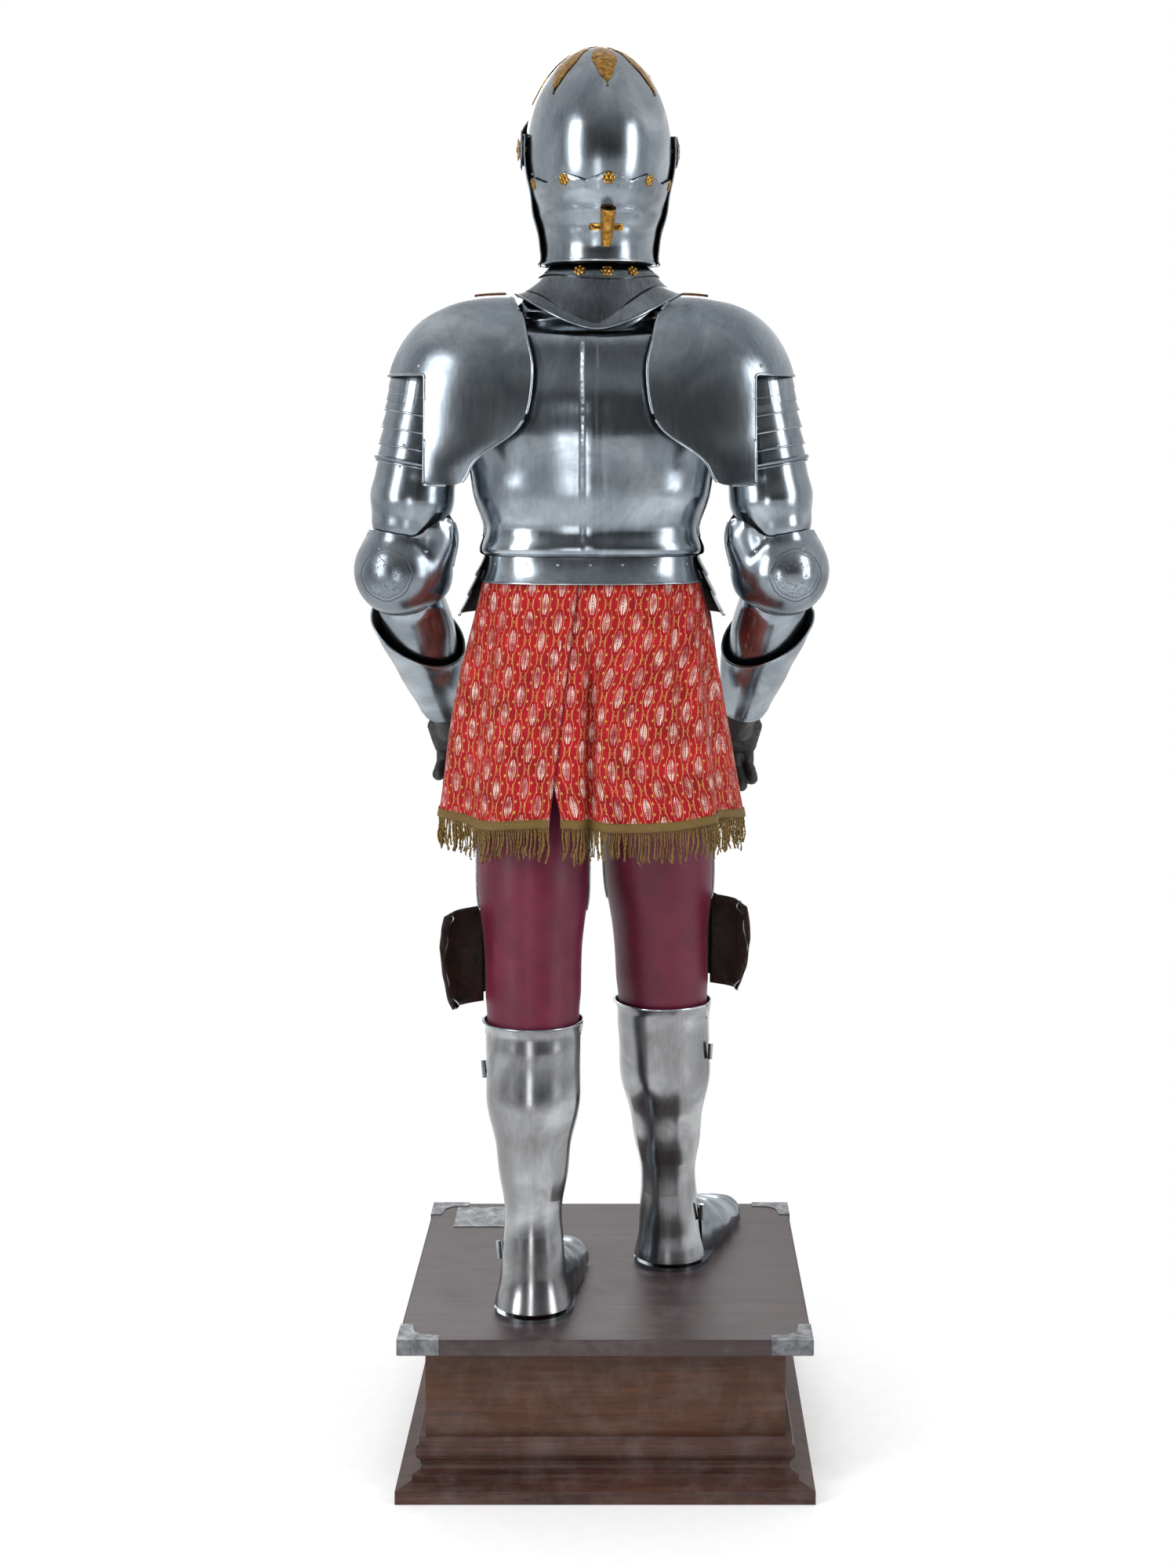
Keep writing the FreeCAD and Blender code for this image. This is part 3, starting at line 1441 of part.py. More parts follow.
ankle_hole_share = 1.15
hinge_height_shares = (0.2, 0.82)
poleyn_span_angle = 164
poleyn_wing_angle = 8
hinge_solids = []
for name, sign in left_and_right:
    ankle_x = size.left_ankle_x if sign > 0 else size.right_ankle_x
    ankle_y = size.left_ankle_y if sign > 0 else size.right_ankle_y
    yaw = size.left_foot_yaw if sign > 0 else size.right_foot_yaw
    ankle = Vector(ankle_x, ankle_y, size.ankle_height_share * size.hip_height)
    hip = Vector(sign * size.hip_x, 0, size.hip_height)

    def leg_centre(height, start=ankle, end=hip):
        share = (height - start.z) / (end.z - start.z)
        return start + (end - start) * share

    def leg_point(height, angle, radius, heading=-yaw, centre=leg_centre):
        return centre(height) + polar(radius, angle + heading)

    # Stuffed leg, lofted through circles of four arcs
    sections = []
    sole_top = size.sole_thickness
    for share in spread(0, 1, 25):
        height = max(sole_top, share * size.hip_height)
        radius = leg_radius(height)
        arcs = []
        for quarter in range(4):
            ends = [leg_point(height, 90 * quarter + extra, radius) for extra in (0, 45, 90)]
            arcs.append(Part.Arc(*ends).toShape())
        sections.append(Part.Wire(arcs))
    add_node(f"{name}_leg_form", [Part.makeLoft(sections, True)], figure_base)

    calf_heart = leg_centre(greave_top / 2)

    def greave_radius(height):
        return along(greave_shares, height / greave_top) * size.greave_calf_radius

    def greave_grid(start_angle, end_angle, bottom):
        grid = []
        for height in spread(bottom, greave_top, 15):
            radius = greave_radius(height)
            grid.append(
                [leg_point(height, angle, radius) for angle in spread(start_angle, end_angle, 17)]
            )
        return grid

    rear_grid = greave_grid(seam_angle, 180 - seam_angle, size.greave_foot_gap)
    front_grid = greave_grid(180 + seam_angle, 360 - seam_angle, size.foot_height + size.lap)
    add_node(f"{name}_greave_back", [plate(rear_grid, size.gauge, calf_heart)], figure_base)
    add_node(f"{name}_greave_front", [plate(front_grid, size.gauge, calf_heart)], figure_base)

    # Poleyn: knee cap with a fan wing on the outer side
    poleyn_grid = []
    outer_angle = 0 if sign > 0 else 180
    for level in spread(-1, 1, 9):
        row = []
        for turn_share in spread(0, 1, 23):
            angle = outer_angle - sign * (poleyn_span_angle * (1 - turn_share) - poleyn_wing_angle)
            wing = smooth(0.68, 1.0, turn_share)
            reach = size.poleyn_half_height * (0.72 + 0.28 * wing)
            height = knee_height + level * reach
            fullness = math.sin(math.pi * min(1.0, turn_share / 0.8)) ** 2
            bulge = size.poleyn_bulge * (1 - level * level) * fullness
            radius = leg_radius(height) + 2 * size.seat_gap + size.gauge + bulge
            radius += size.poleyn_wing_reach * wing * (1 - 0.25 * abs(level))
            row.append(leg_point(height, angle, radius, 0))
        poleyn_grid.append(row)
    knee_heart = leg_centre(knee_height)
    add_node(f"{name}_poleyn", [plate(poleyn_grid, size.gauge, knee_heart)], figure_base)

    # Cuisse: front thigh plate above the knee
    cuisse_grid = []
    cuisse_bottom = knee_height + size.poleyn_half_height + size.cuisse_gap
    for height in spread(cuisse_bottom, cuisse_bottom + size.cuisse_length_share * size.hip_height, 7):
        radius = leg_radius(height) + 2 * size.seat_gap + size.gauge
        cuisse_grid.append([leg_point(height, angle, radius, 0) for angle in spread(-182, 2, 21)])
    add_node(f"{name}_cuisse", [plate(cuisse_grid, size.gauge, hip)], figure_base)

    # Sabaton: five lames over the foot, on a sole
    foot_base = figure_base * Placement(
        Vector(leg_centre(0).x, leg_centre(0).y, 0), Rotation(Vector(0, 0, 1), -yaw)
    )
    toe_reach = size.foot_length - size.greave_calf_radius * greave_shares[0][1]

    def foot_point(position, angle, lift):
        half_width = along([(row[0], row[1]) for row in foot_shares], position) * size.foot_half_width
        rise = along([(row[0], row[2]) for row in foot_shares], position) * size.foot_height
        point = polar(1, angle)
        return Vector(
            (half_width + lift) * math.copysign(abs(point.x) ** 0.8, point.x),
            -toe_reach * position - size.gauge,
            sole_top + size.seat_gap + (rise - sole_top + 1.6 * lift) * max(0.0, point.y) ** 0.8,
        )

    foot_hoops = 5
    foot_angles = spread(0, 180, 17)
    ankle_hole = Part.makeCylinder(
        ankle_hole_share * size.greave_ankle_radius, 2 * size.foot_height, Vector(0, 0, -size.overrun)
    )
    lames = []
    for number in range(foot_hoops):
        grid = hoop_grid(
            number, foot_hoops, foot_point, size.lap / toe_reach, foot_angles, rows=7
        )
        lame = plate(grid, size.gauge, Vector(0, -0.4 * toe_reach, 0))
        lames.append(lame.cut(ankle_hole) if number < 2 else lame)
    heel_radius = size.greave_calf_radius * greave_shares[0][1] - size.gauge
    sole_outline = [polar(heel_radius, angle) for angle in (0, 45, 90, 135, 180)]
    for position in (0.3, 0.6, 0.85):
        sole_outline.append(Vector(-foot_point(position, 0, 0).x + size.gauge, -toe_reach * position, 0))
    sole_outline.append(Vector(0, -toe_reach, 0))
    for position in (0.85, 0.6, 0.3):
        sole_outline.append(Vector(foot_point(position, 0, 0).x - size.gauge, -toe_reach * position, 0))
    sole = closed_prism(sole_outline, size.sole_thickness)
    add_node(f"{name}_sabaton", lames + [sole], foot_base)

    # Hinges on the outer seam; both barrels lie on the line that the rear half turns about
    side_angle = 0 if sign > 0 else 180
    half_barrel = size.hinge_barrel_length / 2
    hinge_middles = []
    for share in hinge_height_shares:
        height = share * greave_top
        widest = max(greave_radius(height + step) for step in spread(-half_barrel, half_barrel, 9))
        reach = widest + size.hinge_barrel_radius + 2 * size.seat_gap + size.hinge_tilt_air
        hinge_middles.append(leg_point(height, side_angle, reach))
    hinge_way = (hinge_middles[1] - hinge_middles[0]).normalize()
    for middle in hinge_middles:
        start = middle - hinge_way * half_barrel
        barrel = Part.makeCylinder(size.hinge_barrel_radius, size.hinge_barrel_length, start, hinge_way)
        hinge_solids.append(barrel)

add_node("greave_hinges", hinge_solids, figure_base)

# Skirt: hanging cloth with its main folds, open at the rear, lofted through arcs
skirt_top = waist_height - size.skirt_top_drop
fold_count = 15


def skirt_point(share, angle, inset, fold_side):
    top = waist_oval(angle, size.skirt_cloth - size.gauge, size.skirt_top_drop)
    hem = oval(size.skirt_hem_half_width, size.skirt_hem_half_depth, size.skirt_hem_half_depth, angle)
    fall = share ** 0.85
    point = Vector(
        top.x + (hem.x - top.x) * fall, top.y + (hem.y - top.y) * fall, skirt_top - size.skirt_length * share
    )
    way = Vector(point.x, point.y, 0).normalize()
    swell = size.skirt_fold_depth * fold_side * share ** 0.7
    return point + way * (swell - inset)


def skirt_section(share, thickness, slit, inset=0.0):
    """Closed outline of the cloth at one level: outer arcs, an end, inner arcs, an end."""
    half_slit = slit[0] + (slit[1] - slit[0]) * share
    reach = skirt_point(share, 90, 0, 0).y
    start = 90 + math.degrees(half_slit / reach)
    end = 450 - math.degrees(half_slit / reach)
    bounds = spread(start, end, fold_count + 1)
    edges = []

    def arc(first, last, depth, side):
        points = [
            skirt_point(share, first, depth, -1),
            skirt_point(share, (first + last) / 2, depth, side),
            skirt_point(share, last, depth, -1),
        ]
        return Part.Arc(*points).toShape()

    for first, last in zip(bounds, bounds[1:]):
        edges.append(arc(first, last, inset, 1))
    inner = inset + thickness
    edges.append(
        Part.LineSegment(skirt_point(share, end, inset, -1), skirt_point(share, end, inner, -1)).toShape()
    )
    for first, last in zip(bounds[::-1], bounds[-2::-1]):
        edges.append(arc(first, last, inner, 1))
    edges.append(
        Part.LineSegment(skirt_point(share, start, inner, -1), skirt_point(share, start, inset, -1)).toShape()
    )
    return Part.Wire(edges)


slit = (size.skirt_slit_top / 2, size.skirt_slit_foot / 2)
skirt_sections = [skirt_section(share, size.skirt_cloth, slit) for share in (0, 0.3, 0.65, 1)]
add_node("skirt", [Part.makeLoft(skirt_sections, True)], figure_base)
fringe_end_share = 1 + size.fringe_length / size.skirt_length
fringe_inset = (size.skirt_cloth - size.fringe_thickness) / 2
fringe_sections = [
    skirt_section(share, size.fringe_thickness, slit, fringe_inset) for share in (1, fringe_end_share)
]
add_node("skirt_fringe", [Part.makeLoft(fringe_sections, True)], figure_base)

# Arming straps that lie on top of the pauldrons beside the gorget
straps = []
for name, sign in left_and_right:
    strap_grid = []
    for share in spread(0.05, 0.3, 7):
        row = []
        for across in spread(-0.5, 0.5, 5):
            turn = math.pi / 2 + across * size.strap_width / size.pauldron_half_depth
            point = pauldron_point(
                size.pauldron_half_depth * math.cos(turn) ** 0.8 if across < 0 else
                -size.pauldron_half_depth * abs(math.cos(turn)) ** 0.8,
                size.pauldron_top_rise * math.sin(turn) ** 0.8, share, sign,
            )
            row.append(Vector(sign * abs(point.x), across * size.strap_width, point.z))
        strap_grid.append(row)
    lifted = [
        [point + Vector(0, 0, size.strap_thickness + 2 * size.seat_gap) for point in row]
        for row in strap_grid
    ]
    strap_heart = Vector(sign * size.chest_half_width, 0, waist_height)
    straps.append(plate(lifted, size.strap_thickness, strap_heart))
add_node("leather_straps", straps, figure_base)

# Write every piece that is sound
doc.recompute()
failed = [item.Name for item in doc.Objects if "Invalid" in item.State or "Error" in item.State]
if failed:
    raise RuntimeError(f"objects that failed: {failed}")
os.makedirs("parts", exist_ok=True)
for node in nodes:
    shape = node.Shape
    if shape.isNull() or not shape.isValid():
        raise RuntimeError(f"unsound shape: {node.Label}")
    shape.exportStep(os.path.join("parts", f"{node.Label}.step"))
print(len(nodes), "pieces written")
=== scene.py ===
import math

import bpy
import bmesh
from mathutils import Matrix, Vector


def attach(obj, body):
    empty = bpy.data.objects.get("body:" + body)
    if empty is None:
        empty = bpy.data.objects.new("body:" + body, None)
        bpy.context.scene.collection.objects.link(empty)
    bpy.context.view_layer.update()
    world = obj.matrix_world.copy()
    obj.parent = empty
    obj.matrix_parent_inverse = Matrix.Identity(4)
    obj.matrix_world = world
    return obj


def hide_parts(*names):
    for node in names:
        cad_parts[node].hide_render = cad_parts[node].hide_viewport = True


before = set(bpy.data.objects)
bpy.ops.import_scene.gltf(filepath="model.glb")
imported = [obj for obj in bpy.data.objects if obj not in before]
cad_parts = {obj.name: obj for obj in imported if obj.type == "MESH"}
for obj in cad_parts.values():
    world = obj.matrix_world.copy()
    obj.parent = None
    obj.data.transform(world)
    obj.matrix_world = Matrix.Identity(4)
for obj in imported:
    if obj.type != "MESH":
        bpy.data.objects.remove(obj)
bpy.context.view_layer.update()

scene = bpy.context.scene

# Where the suit stands on the plinth, and heights counted from the board's top
place = {"figure": Vector((0.022, 0.060, 0.223)), "neckX": -0.010, "neck": 1.462, "pivot": 1.622,
         "elbowOut": 0.273, "elbow": 1.027, "armLean": 9.5, "hipOut": 0.084, "hip": 0.965,
         "capOut": 0.17, "cap": 1.227}
sides = (("left", 1), ("right", -1))


def linear(code, alpha=1.0):
    channels = [int(code[i:i + 2], 16) / 255 for i in (1, 3, 5)]
    return tuple(c / 12.92 if c <= 0.04045 else ((c + 0.055) / 1.055) ** 2.4 for c in channels) + (alpha,)


def add(tree, kind, inputs=(), stops=(), **settings):
    # adds one node with its settings and links, and hands back its outputs
    item = tree.nodes.new(kind)
    for key, value in settings.items():
        setattr(item, key, value)
    for number, (spot, colour) in enumerate(stops):
        if number > 1:
            item.color_ramp.elements.new(1.0)
        mark = item.color_ramp.elements[number]
        mark.position = spot
        mark.color = linear(colour) if isinstance(colour, str) else (colour,) * 3 + (1,)
    for key, value in inputs.items() if isinstance(inputs, dict) else enumerate(inputs):
        if isinstance(value, bpy.types.NodeSocket):
            tree.links.new(value, item.inputs[key])
        else:
            item.inputs[key].default_value = value
    return item.outputs


def startMaterial(name):
    material = bpy.data.materials.new(name)
    material.use_nodes = True
    material.node_tree.nodes.clear()
    return material, material.node_tree, add(material.node_tree, "ShaderNodeTexCoord")


def finish(tree, facts):
    add(tree, "ShaderNodeOutputMaterial", [add(tree, "ShaderNodeBsdfPrincipled", facts)[0]])


# Camera: behind the suit, at chest height, with the frame reaching down to the plinth
cameraSizes = {"spot": (-0.0492, 3.3246, 1.427), "pitch": 2.0, "focal": 52.58, "sensor": 36,
               "shiftX": -0.0342, "shiftY": -0.1645}
cameraData = bpy.data.cameras.new("photoCamera")
cameraData.sensor_fit = "AUTO"
cameraData.sensor_width = cameraSizes["sensor"]
cameraData.lens = cameraSizes["focal"]
cameraData.shift_x = cameraSizes["shiftX"]
cameraData.shift_y = cameraSizes["shiftY"]
camera = bpy.data.objects.new("photoCamera", cameraData)
camera.location = cameraSizes["spot"]
camera.rotation_euler = (math.radians(90 - cameraSizes["pitch"]), 0, math.radians(180))
scene.collection.objects.link(camera)
scene.camera = camera

# Studio: white room behind the suit, softboxes, and the darker room that the photographer stands in
studioSizes = {"room": 0.95, "floorHalf": 9, "floorDrop": 0.0005, "shadowFrom": 0.42, "shadowTo": 0.85,
               "shadowGlow": 0.25}
scene.view_settings.view_transform = "Standard"
world = bpy.data.worlds.new("studioRoom")
scene.world = world
world.use_nodes = True
sky = world.node_tree
sky.nodes.clear()
skyWay = add(sky, "ShaderNodeTexCoord")["Generated"]
skyParts = add(sky, "ShaderNodeSeparateXYZ", {0: skyWay})
towardsCamera = add(sky, "ShaderNodeMapRange", {0: skyParts[1], 1: -0.1, 2: 0.75, 3: 0.0, 4: 1.0})[0]
roomTone = add(sky, "ShaderNodeValToRGB", [towardsCamera], [(0.0, 0.95), (0.45, 0.30), (1.0, 0.05)])[0]
upward = add(sky, "ShaderNodeMath", [skyParts[2], 0.0], operation="MAXIMUM")[0]
overhead = add(sky, "ShaderNodeMath", [upward, 1.5], operation="POWER")[0]
ceiling = {0: overhead, 6: roomTone, 7: (0.85, 0.85, 0.85, 1)}
roomLight = add(sky, "ShaderNodeMix", ceiling, data_type="RGBA")[2]
rays = add(sky, "ShaderNodeLightPath")
straight = [rays["Is Camera Ray"], rays["Is Transmission Ray"]]
backdropRay = add(sky, "ShaderNodeMath", straight, operation="MAXIMUM")[0]
roomShade = add(sky, "ShaderNodeBackground", {"Color": roomLight, "Strength": studioSizes["room"]})
whiteShade = add(sky, "ShaderNodeBackground", {"Color": (1, 1, 1, 1), "Strength": 1.0})
skyMix = add(sky, "ShaderNodeMixShader", {0: backdropRay, 1: roomShade[0], 2: whiteShade[0]})
add(sky, "ShaderNodeOutputWorld", [skyMix[0]])

lampSizes = {
    # name: (spot, aim, width, height, power)
    "softboxLeft": ((2.2, 1.9, 1.9), (0.0, 0.0, 1.25), 0.9, 2.3, 52),
    "softboxRight": ((-2.4, 1.5, 1.7), (0.0, 0.0, 1.1), 0.8, 2.3, 36),
    "softboxTop": ((0.1, 1.6, 3.3), (0.0, 0.1, 1.5), 1.0, 0.8, 26),
    "stripLow": ((0.4, 2.6, 0.8), (0.0, 0.0, 0.7), 0.4, 1.0, 6),
    "frontFill": ((0.3, -2.6, 2.2), (0.0, 0.0, 1.1), 1.6, 1.6, 26),
}
for name, (spot, aim, width, height, power) in lampSizes.items():
    lampData = bpy.data.lights.new(name, "AREA")
    lampData.shape = "RECTANGLE"
    lampData.size, lampData.size_y, lampData.energy = width, height, power
    lamp = bpy.data.objects.new(name, lampData)
    lamp.location = spot
    lamp.visible_glossy = name != "softboxTop"  # the steel would show it as a hard white patch
    lamp.rotation_euler = (Vector(aim) - Vector(spot)).to_track_quat("-Z", "Y").to_euler()
    scene.collection.objects.link(lamp)

# Painted studio floor: near white, with a faint grain, glowing away beyond the plinth's shadow
floorMaterial, tree, spots = startMaterial("paleFloor")
grain = add(tree, "ShaderNodeTexNoise", {"Vector": spots["Object"], "Scale": 40})[0]
grainTone = add(tree, "ShaderNodeValToRGB", [grain], [(0.3, "#f3f3f3"), (0.7, "#f7f7f7")])[0]
floorShade = add(tree, "ShaderNodeBsdfPrincipled", {"Base Color": grainTone, "Roughness": 0.7})[0]
floorGlow = add(tree, "ShaderNodeEmission", {"Color": (1, 1, 1, 1), "Strength": 1.0})[0]
floorRays = add(tree, "ShaderNodeLightPath")
fromPlinth = add(tree, "ShaderNodeVectorMath", [spots["Object"]], operation="LENGTH")[1]
floorFade = add(tree, "ShaderNodeMapRange", {0: fromPlinth, 1: studioSizes["shadowFrom"],
                                             2: studioSizes["shadowTo"], 3: studioSizes["shadowGlow"],
                                             4: 1.0})[0]
floorShare = add(tree, "ShaderNodeMath", [floorRays["Is Camera Ray"], floorFade], operation="MULTIPLY")[0]
floorMix = add(tree, "ShaderNodeMixShader", [floorShare, floorShade, floorGlow])[0]
add(tree, "ShaderNodeOutputMaterial", [floorMix])
floorMesh = bpy.data.meshes.new("floor")
reach = studioSizes["floorHalf"]
floorMesh.from_pydata([(-reach, -reach, 0), (reach, -reach, 0), (reach, reach, 0), (-reach, reach, 0)],
                      [], [(0, 1, 2, 3)])
floor = bpy.data.objects.new("floor", floorMesh)
floor.data.materials.append(floorMaterial)
floor.location.z = -studioSizes["floorDrop"]
scene.collection.objects.link(floor)
print("studio ready")

# Polished mild steel, hammered to shape and rubbed bright by hand: soft dents, fine rub marks,
# blue-grey clouds of old polish, small rust freckles, and blackened insides. Sizes in metres
steelSizes = {"dent": 0.055, "rub": 0.004, "cloud": 0.11, "freckle": 0.009, "dentDepth": 0.0025,
              "rubDepth": 0.0003, "rubShine": 0.14, "rust": 0.35}


def steelMaterial(name, heart, axis=(0, 0, 0), deep="#69717a", mid="#858e96", pale="#a9b2b9",
                  warm=0.0, motif=None, solid=False):
    material, tree, spots = startMaterial(name)
    here = spots["Object"]
    seed = add(tree, "ShaderNodeMapping", {0: here, 1: tuple(3.1 * part for part in heart)})[0]
    clouds = add(tree, "ShaderNodeTexNoise", {"Vector": seed, "Scale": 1 / steelSizes["cloud"],
                                              "Detail": 4, "Roughness": 0.6, "Distortion": 0.6})[0]
    rubs = add(tree, "ShaderNodeMapping", {0: seed, 2: (0.35, 0.2, 0.5), 3: (1, 1, 0.09)})[0]
    rubMarks = add(tree, "ShaderNodeTexNoise", {"Vector": rubs, "Scale": 1 / steelSizes["rub"],
                                                "Detail": 3, "Roughness": 0.6})[0]
    freckles = add(tree, "ShaderNodeTexNoise", {"Vector": seed, "Scale": 1 / steelSizes["freckle"],
                                                "Detail": 5, "Roughness": 0.7, "Distortion": 0.4})[0]
    tone = add(tree, "ShaderNodeValToRGB", [clouds], [(0.3, deep), (0.5, mid), (0.68, pale)])[0]
    shine = add(tree, "ShaderNodeValToRGB", [rubMarks], [(0.35, 0.0), (0.75, 1.0)])[0]
    shine = add(tree, "ShaderNodeMath", [shine, steelSizes["rubShine"]], operation="MULTIPLY")[0]
    tone = add(tree, "ShaderNodeMix", {0: shine, 6: tone, 7: linear("#c2c7cb")}, data_type="RGBA")[2]
    specks = add(tree, "ShaderNodeValToRGB", [freckles], [(0.66, 0.0), (0.74, 1.0)])[0]
    dull = add(tree, "ShaderNodeValToRGB", [clouds], [(0.45, 1.0), (0.6, 0.0)])[0]
    rusty = add(tree, "ShaderNodeMath", [specks, dull], operation="MULTIPLY")[0]
    rusty = add(tree, "ShaderNodeMath", [rusty, steelSizes["rust"] + warm], operation="MULTIPLY")[0]
    tone = add(tree, "ShaderNodeMix", {0: rusty, 6: tone, 7: linear("#6b5a4c")}, data_type="RGBA")[2]
    blows = add(tree, "ShaderNodeTexNoise", {"Vector": seed, "Scale": 1 / steelSizes["dent"],
                                             "Detail": 1.5, "Roughness": 0.4})[0]
    cloudy = add(tree, "ShaderNodeMapRange", {0: clouds, 1: 0.3, 2: 0.7, 3: 0.24, 4: 0.13})[0]
    scratchy = add(tree, "ShaderNodeMath", [rubMarks, 0.07], operation="MULTIPLY")[0]
    roughness = add(tree, "ShaderNodeMath", [cloudy, scratchy], operation="ADD")[0]
    if motif:
        mark = motif(tree, here)
        inked = add(tree, "ShaderNodeMath", [mark, 0.62], operation="MULTIPLY")[0]
        tone = add(tree, "ShaderNodeMix", {0: inked, 6: tone, 7: linear("#4b4d50")}, data_type="RGBA")[2]
        etched = add(tree, "ShaderNodeMath", [mark, 0.25], operation="MULTIPLY")[0]
        roughness = add(tree, "ShaderNodeMath", [roughness, etched], operation="ADD")[0]
    # a face that looks towards the plate's middle line is its inside, which was never polished
    fromHeart = add(tree, "ShaderNodeVectorMath", {0: here, 1: tuple(heart)}, operation="SUBTRACT")[0]
    if any(axis):
        share = add(tree, "ShaderNodeVectorMath", {0: fromHeart, 1: tuple(axis)},
                    operation="DOT_PRODUCT")[1]
        step = add(tree, "ShaderNodeVectorMath", {0: tuple(axis), "Scale": share}, operation="SCALE")[0]
        fromHeart = add(tree, "ShaderNodeVectorMath", {0: fromHeart, 1: step}, operation="SUBTRACT")[0]
    facing = add(tree, "ShaderNodeVectorMath", {0: fromHeart, 1: spots["Normal"]},
                 operation="DOT_PRODUCT")[1]
    inside = add(tree, "ShaderNodeMath", [facing, -10.0 if solid else -0.012], operation="LESS_THAN")[0]
    blackened = add(tree, "ShaderNodeMath", [inside, 0.6], operation="MULTIPLY")[0]
    dents = add(tree, "ShaderNodeBump", {"Height": blows, "Strength": 0.22,
                                         "Distance": steelSizes["dentDepth"]})[0]
    fine = add(tree, "ShaderNodeBump", {"Height": rubMarks, "Strength": 0.03,
                                        "Distance": steelSizes["rubDepth"], "Normal": dents})[0]
    tone = add(tree, "ShaderNodeMix", {0: inside, 6: tone, 7: linear("#211d1b")}, data_type="RGBA")[2]
    finish(tree, {
        "Base Color": tone,
        "Metallic": add(tree, "ShaderNodeMath", [1.0, inside], operation="SUBTRACT")[0],
        "Roughness": add(tree, "ShaderNodeMath", [roughness, blackened], operation="MAXIMUM")[0],
        "Normal": fine,
    })
    return material


# Cast brass, gilded once and handled since: bright on the high places, brown in the hollows
def brassMaterial(name):
    material, tree, spots = startMaterial(name)
    wear = add(tree, "ShaderNodeTexNoise", {"Vector": spots["Object"], "Scale": 160, "Detail": 4,
                                            "Roughness": 0.6})[0]
    patches = add(tree, "ShaderNodeTexNoise", {"Vector": spots["Object"], "Scale": 28, "Detail": 3,
                                               "Roughness": 0.5})[0]
    patches = add(tree, "ShaderNodeMath", [patches, 0.4], operation="MULTIPLY")[0]
    tone = add(tree, "ShaderNodeValToRGB", [wear],
               [(0.3, "#5e4119"), (0.5, "#9c7233"), (0.7, "#cfa65a")])[0]
    tone = add(tree, "ShaderNodeMix", {0: patches, 6: tone, 7: linear("#7d5b28")}, data_type="RGBA")[2]
    finish(tree, {
        "Base Color": tone,
        "Roughness": add(tree, "ShaderNodeValToRGB", [wear], [(0.3, 0.34), (0.7, 0.14)])[0],
        "Normal": add(tree, "ShaderNodeBump", {"Height": wear, "Strength": 0.12, "Distance": 0.0004})[0],
        "Metallic": 1,
    })
    return material


# Cast pewter corner pieces: dull grey with a sandy cast skin and darker rubbed-in dirt
def pewterMaterial(name):
    material, tree, spots = startMaterial(name)
    sand = add(tree, "ShaderNodeTexNoise", {"Vector": spots["Object"], "Scale": 900, "Detail": 3,
                                            "Roughness": 0.6})[0]
    dirt = add(tree, "ShaderNodeTexNoise", {"Vector": spots["Object"], "Scale": 70, "Detail": 5,
                                            "Roughness": 0.65, "Distortion": 0.5})[0]
    sandy = add(tree, "ShaderNodeMath", [sand, 0.3], operation="MULTIPLY")[0]
    tone = add(tree, "ShaderNodeValToRGB", [dirt],
               [(0.3, "#55565a"), (0.5, "#74767a"), (0.72, "#8f9194")])[0]
    tone = add(tree, "ShaderNodeMix", {0: sandy, 6: tone, 7: linear("#66686b")}, data_type="RGBA")[2]
    finish(tree, {
        "Base Color": tone,
        "Roughness": add(tree, "ShaderNodeValToRGB", [dirt], [(0.3, 0.6), (0.7, 0.38)])[0],
        "Normal": add(tree, "ShaderNodeBump", {"Height": sand, "Strength": 0.4, "Distance": 0.0005})[0],
        "Metallic": 1,
    })
    return material


